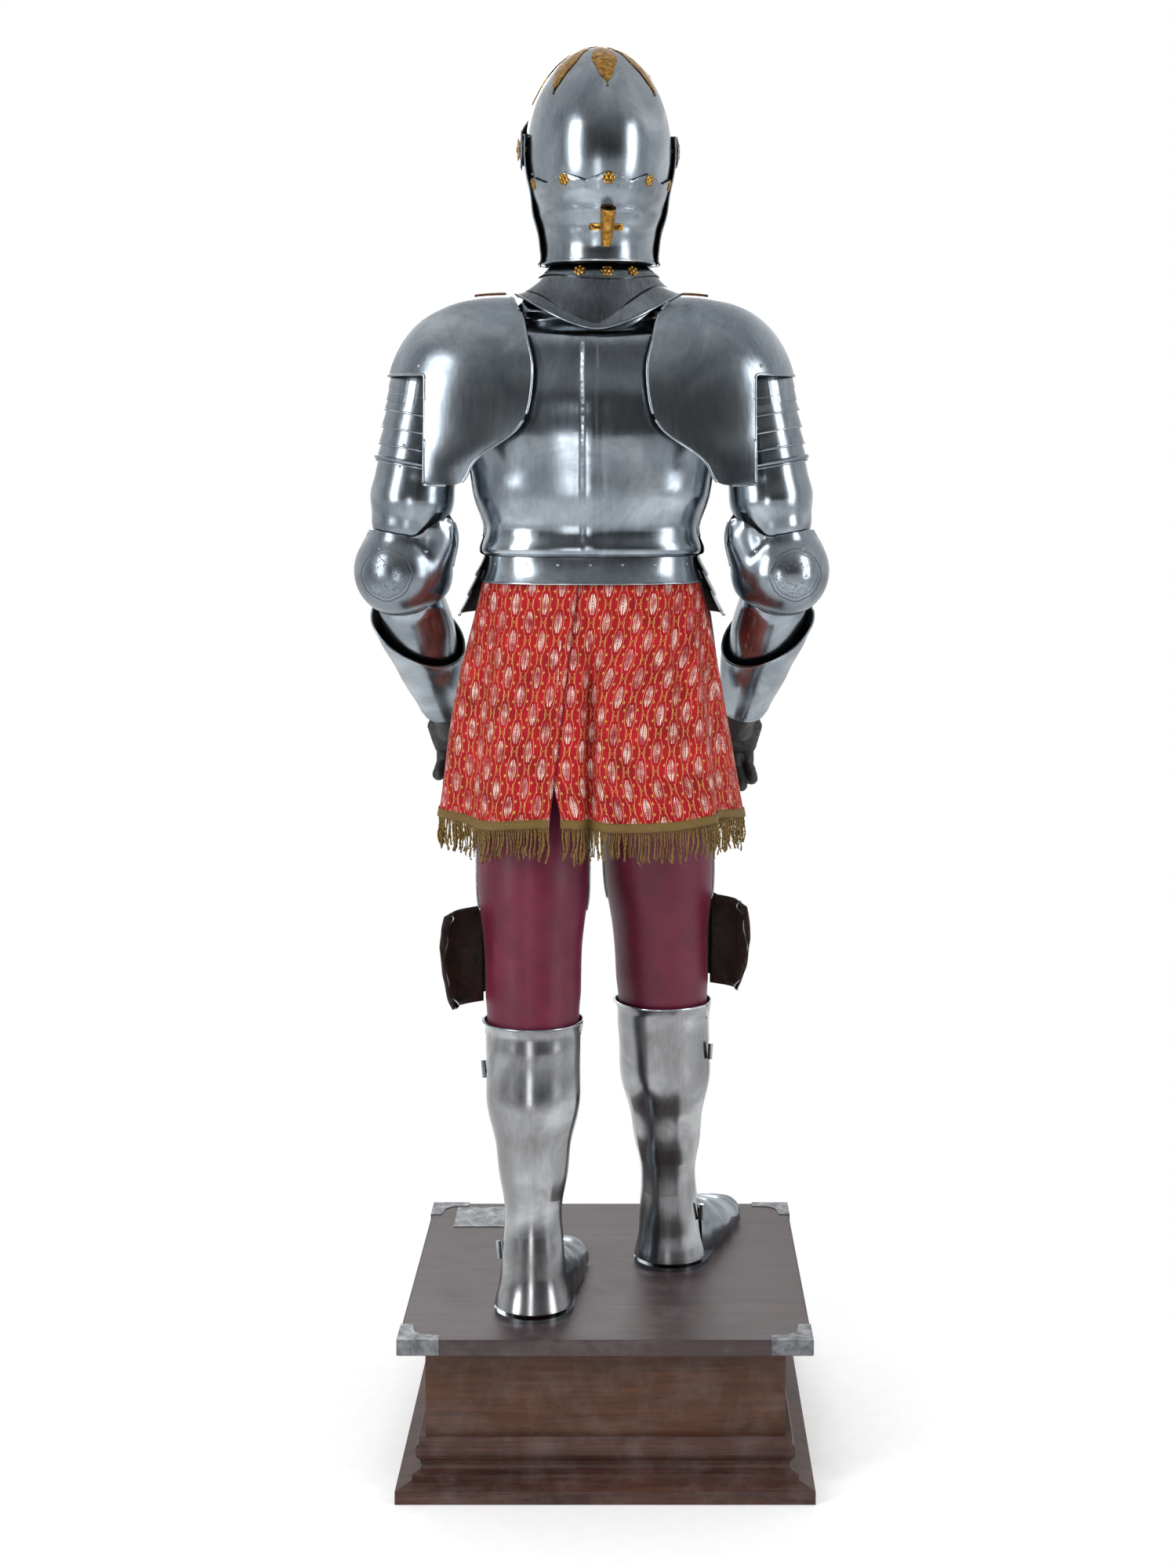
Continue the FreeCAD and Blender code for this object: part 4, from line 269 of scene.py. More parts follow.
# Stained and varnished softwood: brush streaks along the board, worn corners, scuffs and dust
def woodMaterial(name, deep, pale, along, gloss, scuffed=0.0):
    material, tree, spots = startMaterial(name)
    stretch = [1.0, 1.0, 1.0]
    stretch[along] = 0.05
    run = add(tree, "ShaderNodeMapping", {0: spots["Object"], 3: tuple(stretch)})[0]
    streaks = add(tree, "ShaderNodeTexNoise", {"Vector": run, "Scale": 260, "Detail": 5,
                                               "Roughness": 0.6, "Distortion": 0.3})[0]
    bands = add(tree, "ShaderNodeTexNoise", {"Vector": run, "Scale": 42, "Detail": 4,
                                             "Roughness": 0.55, "Distortion": 1.2})[0]
    stain = add(tree, "ShaderNodeTexNoise", {"Vector": spots["Object"], "Scale": 7, "Detail": 4,
                                             "Roughness": 0.6, "Distortion": 0.4})[0]
    bands = add(tree, "ShaderNodeMath", [bands, 0.6], operation="MULTIPLY")[0]
    mixed = add(tree, "ShaderNodeMath", [streaks, 0.4, bands], operation="MULTIPLY_ADD")[0]
    tone = add(tree, "ShaderNodeValToRGB", [mixed], [(0.36, deep), (0.64, pale)])[0]
    stained = add(tree, "ShaderNodeValToRGB", [stain], [(0.35, 1.0), (0.6, 0.0)])[0]
    stained = add(tree, "ShaderNodeMath", [stained, 0.35], operation="MULTIPLY")[0]
    tone = add(tree, "ShaderNodeMix", {0: stained, 6: tone, 7: linear(deep)}, data_type="RGBA")[2]
    roughness = add(tree, "ShaderNodeMath", [streaks, 0.2, gloss], operation="MULTIPLY_ADD")[0]
    if scuffed:
        scrape = add(tree, "ShaderNodeMapping", {0: spots["Object"], 2: (0, 0, 0.5), 3: (1, 0.12, 1)})[0]
        scrapes = add(tree, "ShaderNodeTexNoise", {"Vector": scrape, "Scale": 190, "Detail": 6,
                                                   "Roughness": 0.75, "Distortion": 0.8})[0]
        scrapes = add(tree, "ShaderNodeValToRGB", [scrapes], [(0.66, 0.0), (0.72, 1.0)])[0]
        handled = add(tree, "ShaderNodeTexNoise", {"Vector": spots["Object"], "Scale": 11, "Detail": 3,
                                                   "Roughness": 0.6})[0]
        handled = add(tree, "ShaderNodeValToRGB", [handled], [(0.5, 0.0), (0.68, 1.0)])[0]
        marks = add(tree, "ShaderNodeMath", [scrapes, handled], operation="MULTIPLY")[0]
        marks = add(tree, "ShaderNodeMath", [marks, scuffed], operation="MULTIPLY")[0]
        tone = add(tree, "ShaderNodeMix", {0: marks, 6: tone, 7: linear("#2a2021")}, data_type="RGBA")[2]
        dust = add(tree, "ShaderNodeTexNoise", {"Vector": spots["Object"], "Scale": 16, "Detail": 5,
                                                "Roughness": 0.7})[0]
        dust = add(tree, "ShaderNodeValToRGB", [dust], [(0.45, 0.0), (0.8, 1.0)])[0]
        veil = add(tree, "ShaderNodeMath", [dust, 0.22], operation="MULTIPLY")[0]
        tone = add(tree, "ShaderNodeMix", {0: veil, 6: tone, 7: linear("#8b8284")}, data_type="RGBA")[2]
        roughness = add(tree, "ShaderNodeMath", [dust, 0.15, roughness], operation="MULTIPLY_ADD")[0]
    finish(tree, {
        "Base Color": tone,
        "Roughness": roughness,
        "Specular IOR Level": 0.28,
        "Normal": add(tree, "ShaderNodeBump", {"Height": mixed, "Strength": 0.18, "Distance": 0.0009})[0],
    })
    return material


def paint(node, material):
    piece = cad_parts[node]
    if not piece.material_slots:
        piece.data.materials.append(material)
    for spot in piece.material_slots:
        spot.material = material


# Middles and lines of the limbs, which the inside of each plate is found from
figure = place["figure"]
neckSpot = figure + Vector((place["neckX"], 0, 0))
upright = Vector((0, 0, 1))
nowhere = Vector((0, 0, 0))
armLean = math.radians(place["armLean"])
elbows, armUp, armDown, ankles, legWays, capHearts = {}, {}, {}, {}, {}, {}
footSpots = {"left": Vector((0.08, 0.094, 0)), "right": Vector((-0.11, -0.074, 0))}
for side, turn in sides:
    elbows[side] = figure + Vector((turn * place["elbowOut"], 0, place["elbow"]))
    armUp[side] = Vector((-turn * math.sin(armLean), 0, math.cos(armLean)))
    armDown[side] = Vector((-turn * 0.179, -0.62, -0.764)).normalized()
    ankles[side] = figure + footSpots[side]
    hip = figure + Vector((turn * place["hipOut"], 0, place["hip"]))
    legWays[side] = (hip - ankles[side]).normalized()
    capHearts[side] = figure + Vector((turn * place["capOut"], 0, place["cap"]))

torsoSteel = steelMaterial("torsoSteel", figure + Vector((0, 0, 1.2)), (0, 0, 1))
helmetHeart = neckSpot + Vector((0, 0, place["pivot"] - 0.02))
helmetSteel = steelMaterial("helmetSteel", helmetHeart, pale="#aab2b9")
gorgetHeart = neckSpot + Vector((0, 0, place["neck"] - 0.16))
gorgetSteel = steelMaterial("gorgetSteel", gorgetHeart, deep="#454b51", mid="#5f656b", pale="#7d848b",
                            solid=True)
brass = brassMaterial("castBrass")
pewter = pewterMaterial("castPewter")
rawPine = woodMaterial("rawPine", "#9c7a4e", "#c7a672", 2, 0.6)
finishes = [
    (torsoSteel, ("backplate", "breastplate", "backplate_flange", "fauld", "left_tasset", "right_tasset",
                  "greave_hinges")),
    (helmetSteel, ("helmet_skull", "helmet_neck_guard", "visor", "bevor")),
    (gorgetSteel, ("gorget_top_lame", "gorget_middle_lame", "gorget_lower_lame")),
    (brass, ("crown_star", "helmet_rosettes", "plume_holder", "plume_holder_band", "visor_pivots",
             "gorget_rosettes")),
    (pewter, ("corner_brackets", "name_plate")),
    (woodMaterial("varnishedTop", "#352b2c", "#463a3b", 0, 0.34, 0.7), ("plinth_top_board",)),
    (woodMaterial("stainedPanel", "#321d12", "#583825", 0, 0.42, 0.3), ("plinth_side_panels",)),
    (woodMaterial("stainedBottom", "#3f2d25", "#6a4d3f", 0, 0.5), ("plinth_bottom_board",)),
    (woodMaterial("stainedMoulding", "#2a1815", "#543830", 0, 0.32, 0.3), ("plinth_moulding",)),
    (rawPine, ("hip_block", "spine_post", "head_block", "shoulder_bar")),
]
for material, nodes in finishes:
    for node in nodes:
        paint(node, material)
print("plinth, torso and helmet painted")

# Etched work on the elbow cops: a four-lobed frame filled with leaves, cut as fine dark lines
etchSizes = {"lobe": 0.034, "line": 0.00085, "leaf": 0.0062, "rose": 0.016, "roseLine": 0.0009,
             "eye": 0.012, "behind": -0.02}


def copMotif(centre, sideTurn):
    def draw(tree, here):
        local = add(tree, "ShaderNodeVectorMath", {0: here, 1: tuple(centre)}, operation="SUBTRACT")[0]
        parts = add(tree, "ShaderNodeSeparateXYZ", {0: local})
        across = add(tree, "ShaderNodeMath", [parts[0], sideTurn], operation="MULTIPLY")[0]
        rise = add(tree, "ShaderNodeMath", [parts[2], parts[2]], operation="MULTIPLY")[0]
        square = add(tree, "ShaderNodeMath", [across, across, rise], operation="MULTIPLY_ADD")[0]
        radius = add(tree, "ShaderNodeMath", [square], operation="SQRT")[0]
        turn = add(tree, "ShaderNodeMath", [parts[2], across], operation="ARCTAN2")[0]

        # the frame: four lobes, with a small point where two of them meet
        double = add(tree, "ShaderNodeMath", [turn, 2], operation="MULTIPLY")[0]
        lobes = add(tree, "ShaderNodeMath", [double], operation="COSINE")[0]
        lobes = add(tree, "ShaderNodeMath", [lobes], operation="ABSOLUTE")[0]
        tips = add(tree, "ShaderNodeMath", [double], operation="SINE")[0]
        tips = add(tree, "ShaderNodeMath", [tips], operation="ABSOLUTE")[0]
        tips = add(tree, "ShaderNodeMath", [tips, 6], operation="POWER")[0]
        reach = add(tree, "ShaderNodeMath", [lobes, 0.26, 0.84], operation="MULTIPLY_ADD")[0]
        reach = add(tree, "ShaderNodeMath", [tips, 0.2, reach], operation="MULTIPLY_ADD")[0]
        reach = add(tree, "ShaderNodeMath", [reach, etchSizes["lobe"]], operation="MULTIPLY")[0]
        mark = 0.0
        for share, width in ((1.0, 1.3), (0.86, 0.8)):
            edge = add(tree, "ShaderNodeMath", [reach, share], operation="MULTIPLY")[0]
            gap = add(tree, "ShaderNodeMath", [radius, edge], operation="SUBTRACT")[0]
            gap = add(tree, "ShaderNodeMath", [gap], operation="ABSOLUTE")[0]
            line = add(tree, "ShaderNodeMath", [gap, width * etchSizes["line"]], operation="LESS_THAN")[0]
            mark = add(tree, "ShaderNodeMath", [mark, line], operation="MAXIMUM")[0]

        # an eight-leaved rose in the middle
        rose = add(tree, "ShaderNodeMath", [turn, 4], operation="MULTIPLY")[0]
        rose = add(tree, "ShaderNodeMath", [rose], operation="COSINE")[0]
        rose = add(tree, "ShaderNodeMath", [rose], operation="ABSOLUTE")[0]
        rose = add(tree, "ShaderNodeMath", [rose, etchSizes["rose"]], operation="MULTIPLY")[0]
        rose = add(tree, "ShaderNodeMath", [radius, rose], operation="SUBTRACT")[0]
        rose = add(tree, "ShaderNodeMath", [rose], operation="ABSOLUTE")[0]
        rose = add(tree, "ShaderNodeMath", [rose, etchSizes["roseLine"]], operation="LESS_THAN")[0]
        mark = add(tree, "ShaderNodeMath", [mark, rose], operation="MAXIMUM")[0]

        # leaf scrolls between the rose and the frame
        leaves = add(tree, "ShaderNodeTexNoise", {"Vector": here, "Scale": 1 / etchSizes["leaf"],
                                                  "Detail": 1.0, "Roughness": 0.5, "Distortion": 1.8})[0]
        leaves = add(tree, "ShaderNodeMath", [leaves, 0.5], operation="SUBTRACT")[0]
        leaves = add(tree, "ShaderNodeMath", [leaves], operation="ABSOLUTE")[0]
        scrolls = add(tree, "ShaderNodeMath", [leaves, 0.035], operation="LESS_THAN")[0]
        rim = add(tree, "ShaderNodeMath", [reach, 0.84], operation="MULTIPLY")[0]
        within = add(tree, "ShaderNodeMath", [radius, rim], operation="LESS_THAN")[0]
        outside = add(tree, "ShaderNodeMath", [radius, etchSizes["eye"]], operation="GREATER_THAN")[0]
        scrolls = add(tree, "ShaderNodeMath", [scrolls, within], operation="MULTIPLY")[0]
        scrolls = add(tree, "ShaderNodeMath", [scrolls, outside], operation="MULTIPLY")[0]
        mark = add(tree, "ShaderNodeMath", [mark, scrolls], operation="MAXIMUM")[0]
        rear = add(tree, "ShaderNodeMath", [parts[1], etchSizes["behind"]], operation="GREATER_THAN")[0]
        return add(tree, "ShaderNodeMath", [mark, rear], operation="MULTIPLY")[0]
    return draw


for side, turn in sides:
    elbow, ankle = elbows[side], ankles[side]
    etchSpot = elbow + Vector((turn * 0.014, 0.06, -0.004))
    footHeart = ankle + Vector((0, -0.1, 0.01))
    plates = [
        (("arm_lames", "upper_cannon"), steelMaterial(side + "UpperArmSteel", elbow, armUp[side])),
        (("lower_cannon", "gauntlet_cuff"),
         steelMaterial(side + "ForearmSteel", elbow, armDown[side], warm=0.15)),
        (("couter",), steelMaterial(side + "CopSteel", elbow, motif=copMotif(etchSpot, turn))),
        (("pauldron",), steelMaterial(side + "ShoulderSteel", capHearts[side], deep="#606973")),
        (("greave_back", "greave_front", "poleyn", "cuisse"),
         steelMaterial(side + "LegSteel", ankle, legWays[side], deep="#706f6f", mid="#87888a",
                       pale="#aeb0b2")),
        (("sabaton",), steelMaterial(side + "FootSteel", footHeart, deep="#61686e")),
    ]
    for parts, steel in plates:
        for part in parts:
            paint(f"{side}_{part}", steel)
print("limbs painted")


def smooth(low, high, value):
    share = min(1.0, max(0.0, (value - low) / (high - low)))
    return share * share * (3 - 2 * share)


def spread(start, end, count):
    return [start + (end - start) * step / (count - 1) for step in range(count)]


def polar(radius, angle, height=0.0):
    return Vector((radius * math.cos(angle), radius * math.sin(angle), height))


def oval(halfWidth, frontDepth, rearDepth, angle, power=1.0):
    across, deep = math.cos(angle), math.sin(angle)
    depth = rearDepth if deep >= 0 else frontDepth
    return Vector((halfWidth * math.copysign(abs(across) ** power, across),
                   depth * math.copysign(abs(deep) ** power, deep), 0))


def gridFaces(tall, wide):
    # the faces of a sheet whose points run row by row
    return [[r * wide + c, (r + 1) * wide + c, (r + 1) * wide + c + 1, r * wide + c + 1]
            for r in range(tall - 1) for c in range(wide - 1)]


def append(points, faces, more):
    # adds the points and faces of one more shape to a piece's own
    faces += [[number + len(points) for number in face] for face in more[1]]
    points += more[0]


def makePiece(name, points, faces, material, loopMap=None):
    mesh = bpy.data.meshes.new(name)
    mesh.from_pydata([tuple(point) for point in points], [], faces)
    if loopMap:
        layer = mesh.uv_layers.new(name="clothMap")
        for face in mesh.polygons:
            for loop, pair in zip(face.loop_indices, loopMap[face.index]):
                layer.data[loop].uv = pair
    mesh.materials.append(material)
    mesh.polygons.foreach_set("use_smooth", [True] * len(mesh.polygons))
    mesh.update()
    piece = bpy.data.objects.new(name, mesh)
    scene.collection.objects.link(piece)
    return piece


def settle(piece):
    # turns live modifiers into plain mesh
    graph = bpy.context.evaluated_depsgraph_get()
    live = piece.evaluated_get(graph)
    finished = bpy.data.meshes.new_from_object(live, preserve_all_data_layers=True, depsgraph=graph)
    piece.modifiers.clear()
    piece.data = finished
    return piece


def thicken(piece, gauge, offset=-1.0):
    shell = piece.modifiers.new("gauge", "SOLIDIFY")
    shell.thickness, shell.offset, shell.use_even_offset = gauge, offset, True
    return settle(piece)


# Red silk brocade: a red twill ground with gold chain ogives and white and rose medallions, and broad
# patches of painted sheen and shade over the ground.
# Sizes in millimetres on the cloth; a gap is the distance from one stroke to the next.
# The threads are drawn about three times coarser than the silk's own, so that they show
brocadeSizes = {"column": 21.5, "repeat": 51.0, "chainHalf": 7.6, "chainLine": 0.36, "medalHalf": 5.0,
                "medalReach": 15.0, "spurSide": 9.6, "spurRise": 7.5, "spurHalf": 1.5, "spurReach": 2.6,
                "stemHalf": 0.55, "stemStart": 18.5, "strokeGap": 2.2848, "dotHalf": 0.75,
                "dotReach": 8.5, "dotGap": 4.3332, "threadGap": 1.10231}


def brocadeMaterial(name):
    material, tree, spots = startMaterial(name)
    sizes = brocadeSizes
    uv = add(tree, "ShaderNodeSeparateXYZ", {0: spots["UV"]})
    across = add(tree, "ShaderNodeMath", [uv[0], 1000], operation="MULTIPLY")[0]
    down = add(tree, "ShaderNodeMath", [uv[1], 1000], operation="MULTIPLY")[0]
    wobble = add(tree, "ShaderNodeTexNoise", {"Vector": spots["UV"], "Scale": 420, "Detail": 2,
                                              "Roughness": 0.5})[0]
    wobble = add(tree, "ShaderNodeMath", [wobble, 1.2, -0.6], operation="MULTIPLY_ADD")[0]
    across = add(tree, "ShaderNodeMath", [across, wobble], operation="ADD")[0]
    period, column = sizes["repeat"], sizes["column"]
    gold, medal, dots = 0.0, 0.0, 0.0
    for shift in (0, 1):
        # every second column is set half a repeat lower
        x = add(tree, "ShaderNodeMath", [across, shift * column], operation="SUBTRACT")[0]
        x = add(tree, "ShaderNodeMath", [x, column, -column], operation="WRAP")[0]
        y = add(tree, "ShaderNodeMath", [down, shift * period / 2], operation="SUBTRACT")[0]
        y = add(tree, "ShaderNodeMath", [y, period / 2, -period / 2], operation="WRAP")[0]
        side = add(tree, "ShaderNodeMath", [x], operation="ABSOLUTE")[0]
        rise = add(tree, "ShaderNodeMath", [y], operation="ABSOLUTE")[0]

        # chain: two lines that bow apart and meet at the ends of the repeat
        bow = add(tree, "ShaderNodeMath", [y, math.pi / period], operation="MULTIPLY")[0]
        bow = add(tree, "ShaderNodeMath", [bow], operation="COSINE")[0]
        bow = add(tree, "ShaderNodeMath", [bow], operation="ABSOLUTE")[0]
        bow = add(tree, "ShaderNodeMath", [bow, 0.55], operation="POWER")[0]
        bow = add(tree, "ShaderNodeMath", [bow, sizes["chainHalf"]], operation="MULTIPLY")[0]
        chain = add(tree, "ShaderNodeMath", [side, bow], operation="SUBTRACT")[0]
        chain = add(tree, "ShaderNodeMath", [chain], operation="ABSOLUTE")[0]
        chain = add(tree, "ShaderNodeMath", [chain, sizes["chainLine"]], operation="LESS_THAN")[0]

        # spurs: small lozenges beside the chain
        spurX = add(tree, "ShaderNodeMath", [side, sizes["spurSide"]], operation="SUBTRACT")[0]
        spurX = add(tree, "ShaderNodeMath", [spurX, sizes["spurHalf"]], operation="DIVIDE")[0]
        spurX = add(tree, "ShaderNodeMath", [spurX], operation="ABSOLUTE")[0]
        spurY = add(tree, "ShaderNodeMath", [rise, sizes["spurRise"]], operation="SUBTRACT")[0]
        spurY = add(tree, "ShaderNodeMath", [spurY, sizes["spurReach"]], operation="DIVIDE")[0]
        spurY = add(tree, "ShaderNodeMath", [spurY], operation="ABSOLUTE")[0]
        spur = add(tree, "ShaderNodeMath", [spurX, spurY], operation="ADD")[0]
        spur = add(tree, "ShaderNodeMath", [spur, 1.0], operation="LESS_THAN")[0]

        # stems: a pair that leans out towards the ends of the repeat
        stem = add(tree, "ShaderNodeMath", [rise, -0.16, side], operation="MULTIPLY_ADD")[0]
        stem = add(tree, "ShaderNodeMath", [stem], operation="ABSOLUTE")[0]
        stem = add(tree, "ShaderNodeMath", [stem, sizes["stemHalf"]], operation="LESS_THAN")[0]
        ends = add(tree, "ShaderNodeMath", [rise, sizes["stemStart"]], operation="GREATER_THAN")[0]
        stem = add(tree, "ShaderNodeMath", [stem, ends], operation="MULTIPLY")[0]
        for part in (chain, spur, stem):
            gold = add(tree, "ShaderNodeMath", [gold, part], operation="MAXIMUM")[0]

        # medallion: an upright oval of leaf strokes
        ovalX = add(tree, "ShaderNodeMath", [side, sizes["medalHalf"]], operation="DIVIDE")[0]
        ovalX = add(tree, "ShaderNodeMath", [ovalX, 2.0], operation="POWER")[0]
        ovalY = add(tree, "ShaderNodeMath", [rise, sizes["medalReach"]], operation="DIVIDE")[0]
        ovalY = add(tree, "ShaderNodeMath", [ovalY, 2.0], operation="POWER")[0]
        ellipse = add(tree, "ShaderNodeMath", [ovalX, ovalY], operation="ADD")[0]
        ellipse = add(tree, "ShaderNodeMath", [ellipse, 1.0], operation="LESS_THAN")[0]
        strokes = add(tree, "ShaderNodeMath", [rise, 0.05, side], operation="MULTIPLY_ADD")[0]
        beat = math.tau / sizes["strokeGap"]
        strokes = add(tree, "ShaderNodeMath", [strokes, beat], operation="MULTIPLY")[0]
        strokes = add(tree, "ShaderNodeMath", [strokes], operation="COSINE")[0]
        strokes = add(tree, "ShaderNodeMath", [strokes, -0.25], operation="GREATER_THAN")[0]
        leaf = add(tree, "ShaderNodeMath", [ellipse, strokes], operation="MULTIPLY")[0]
        medal = add(tree, "ShaderNodeMath", [medal, leaf], operation="MAXIMUM")[0]

        # a row of dots down its middle
        row = add(tree, "ShaderNodeMath", [y, math.tau / sizes["dotGap"]], operation="MULTIPLY")[0]
        row = add(tree, "ShaderNodeMath", [row], operation="COSINE")[0]
        row = add(tree, "ShaderNodeMath", [row, 0.3], operation="GREATER_THAN")[0]
        slim = add(tree, "ShaderNodeMath", [side, sizes["dotHalf"]], operation="LESS_THAN")[0]
        short = add(tree, "ShaderNodeMath", [rise, sizes["dotReach"]], operation="LESS_THAN")[0]
        row = add(tree, "ShaderNodeMath", [row, slim], operation="MULTIPLY")[0]
        row = add(tree, "ShaderNodeMath", [row, short], operation="MULTIPLY")[0]
        dots = add(tree, "ShaderNodeMath", [dots, row], operation="MAXIMUM")[0]

    pick = add(tree, "ShaderNodeMath", [down, math.tau / sizes["threadGap"]], operation="MULTIPLY")[0]
    pick = add(tree, "ShaderNodeMath", [pick], operation="COSINE")[0]
    end = add(tree, "ShaderNodeMath", [across, math.tau / sizes["threadGap"]], operation="MULTIPLY")[0]
    end = add(tree, "ShaderNodeMath", [end], operation="COSINE")[0]
    weave = add(tree, "ShaderNodeMath", [pick, end], operation="MULTIPLY")[0]
    missing = add(tree, "ShaderNodeTexNoise", {"Vector": spots["UV"], "Scale": 900, "Detail": 1,
                                               "Roughness": 0.55})[0]
    bound = add(tree, "ShaderNodeMath", [pick, missing], operation="ADD")[0]
    bound = add(tree, "ShaderNodeMath", [bound, -0.05], operation="GREATER_THAN")[0]
    gold = add(tree, "ShaderNodeMath", [gold, bound], operation="MULTIPLY")[0]
    # painted sheen and shade: broad patches that lighten and darken the red ground, as the sheen on its
    # folds would
    wearAndSheen = add(tree, "ShaderNodeTexNoise", {"Vector": spots["UV"], "Scale": 24, "Detail": 3,
                                            "Roughness": 0.6})[0]
    fleck = add(tree, "ShaderNodeTexNoise", {"Vector": spots["UV"], "Scale": 700, "Detail": 2,
                                             "Roughness": 0.6})[0]
    wearAndSheen = add(tree, "ShaderNodeMath", [wearAndSheen, 0.6], operation="MULTIPLY")[0]
    ground = add(tree, "ShaderNodeMath", [fleck, 0.4, wearAndSheen], operation="MULTIPLY_ADD")[0]
    ground = add(tree, "ShaderNodeValToRGB", [ground],
                 [(0.3, "#690a14"), (0.55, "#9a1420"), (0.75, "#b5242c")])[0]
    petals = add(tree, "ShaderNodeTexNoise", {"Vector": spots["UV"], "Scale": 60, "Detail": 1,
                                              "Roughness": 0.55})[0]
    petals = add(tree, "ShaderNodeMath", [petals, 0.7], operation="MULTIPLY")[0]
    flower = add(tree, "ShaderNodeMath", [fleck, 0.3, petals], operation="MULTIPLY_ADD")[0]
    flower = add(tree, "ShaderNodeValToRGB", [flower],
                 [(0.36, "#84323c"), (0.5, "#c39a90"), (0.6, "#efe4d8")])[0]
    thread = add(tree, "ShaderNodeValToRGB", [fleck], [(0.35, "#a9782a"), (0.6, "#e9c878")])[0]
    cover = add(tree, "ShaderNodeMath", [medal, 0.9], operation="MULTIPLY")[0]
    tone = add(tree, "ShaderNodeMix", {0: cover, 6: ground, 7: flower}, data_type="RGBA")[2]
    spotted = add(tree, "ShaderNodeMath", [dots, 0.8], operation="MULTIPLY")[0]
    tone = add(tree, "ShaderNodeMix", {0: spotted, 6: tone, 7: linear("#5a2430")}, data_type="RGBA")[2]
    tone = add(tree, "ShaderNodeMix", {0: gold, 6: tone, 7: thread}, data_type="RGBA")[2]
    back = add(tree, "ShaderNodeAttribute", attribute_name="clothBack")["Fac"]
    raised = add(tree, "ShaderNodeMath", [medal, 0.6, gold], operation="MULTIPLY_ADD")[0]
    raised = add(tree, "ShaderNodeMath", [weave, 0.25, raised], operation="MULTIPLY_ADD")[0]
    tone = add(tree, "ShaderNodeMix", {0: back, 6: tone, 7: linear("#701a20")}, data_type="RGBA")[2]
    finish(tree, {
        "Base Color": tone,
        "Metallic": add(tree, "ShaderNodeMath", [gold, 0.55], operation="MULTIPLY")[0],
        "Roughness": add(tree, "ShaderNodeMath", [gold, -0.25, 0.62], operation="MULTIPLY_ADD")[0],
        "Normal": add(tree, "ShaderNodeBump", {"Height": raised, "Strength": 0.5, "Distance": 0.0006})[0],
        "Specular IOR Level": 0.12,
        "Sheen Weight": 0.05,
        "Sheen Roughness": 0.4,
    })
    return material


skirtSizes = {"top": 1.035, "length": 0.358, "hemHalf": 0.208, "hemDepth": 0.152, "waistHalf": 0.1485,
              "waistFront": 0.0979, "waistRear": 0.0895, "cloth": 0.0022, "fold": 0.0105, "pleat": 0.0018,
              "rows": 60, "columns": 420, "hemWave": 0.004, "slit": 0.009, "slitOpens": 0.047,
              "under": 0.030, "underHem": 0.020, "flare": 0.85}
skirtFolds = [
    # panel, x at the top, drift to the hem, half width, depth, begins, is full, (fades by, from, to)
    ("under", -0.004, 0.004, 0.010, -0.024, 0.05, 0.6, (0.0, 0.0, 1.0)),
    ("under", -0.118, -0.022, 0.012, -0.010, 0.0, 0.2, (1.0, 0.45, 0.9)),
    ("over", 0.009, 0.047, 0.007, 0.0052, 0.0, 0.06, (0.0, 0.0, 1.0)),
    ("over", 0.031, 0.047, 0.010, -0.0030, 0.05, 0.3, (0.0, 0.0, 1.0)),
    ("over", 0.071, 0.035, 0.011, -0.0075, 0.0, 0.25, (0.0, 0.0, 1.0)),
    ("over", 0.19, 0.0, 0.03, 0.008, 0.1, 0.45, (0.6, 0.6, 1.0)),
]


def skirtPoint(share, turn, lift=0.0):
    # turn runs from the rear edge that lies outside, round the front, to the rear edge underneath
    sizes = skirtSizes
    slitX = sizes["slit"] + sizes["slitOpens"] * share
    underX = sizes["under"] * (1 + share) - sizes["underHem"] * smooth(0.75, 1.0, share)
    flare = share ** sizes["flare"]
    half = sizes["waistHalf"] + (sizes["hemHalf"] - sizes["waistHalf"]) * flare
    rearDepth = sizes["waistRear"] + (sizes["hemDepth"] - sizes["waistRear"]) * flare
    frontDepth = sizes["waistFront"] + (sizes["hemDepth"] - sizes["waistFront"]) * flare
    first = math.acos(slitX / half)
    last = -1.5 * math.pi - math.asin(underX / half)
    angle = first + (last - first) * turn
    point = oval(half, frontDepth, rearDepth, angle, 0.85 + 0.15 * flare)
    way = point.normalized()
    x = point.x
    rear = point.y > 0
    panel = "under" if turn > 0.5 else "over"
    growth = share ** 0.7

    # the even folds all round calm down on the flat rear panels
    wide = math.sin(angle * 7.5 + 0.6 * math.sin(angle * 2)) * sizes["fold"]
    small = math.sin(angle * 17 + 3 * share) * sizes["pleat"]
    calm = 1 - 0.62 * rear * (1 - smooth(0.05, 0.19, abs(x)))
    swell = growth * calm * (wide + small)
    for foldPanel, top, drift, reach, depth, begins, full, (fade, fadeFrom, fadeTo) in skirtFolds:
        if rear and foldPanel == panel:
            bump = math.exp(-((x - top - drift * share) / reach) ** 2) * smooth(begins, full, share)
            swell += depth * bump * (1 - fade * smooth(fadeFrom, fadeTo, share))
    if rear and panel == "under":
        # a soft ridge after the deep valley, and the edge that tucks in underneath
        swell += 0.006 * math.exp(-((x + 0.030) / 0.016) ** 2) * growth
        swell -= 0.0055 * smooth(-0.012, 0.03, x)
    drop = sizes["hemWave"] * math.sin(angle * 5 + 1.0) * share ** 3
    point += way * (swell + lift)
    point.z = sizes["top"] - sizes["length"] * share + drop
    return figure + point


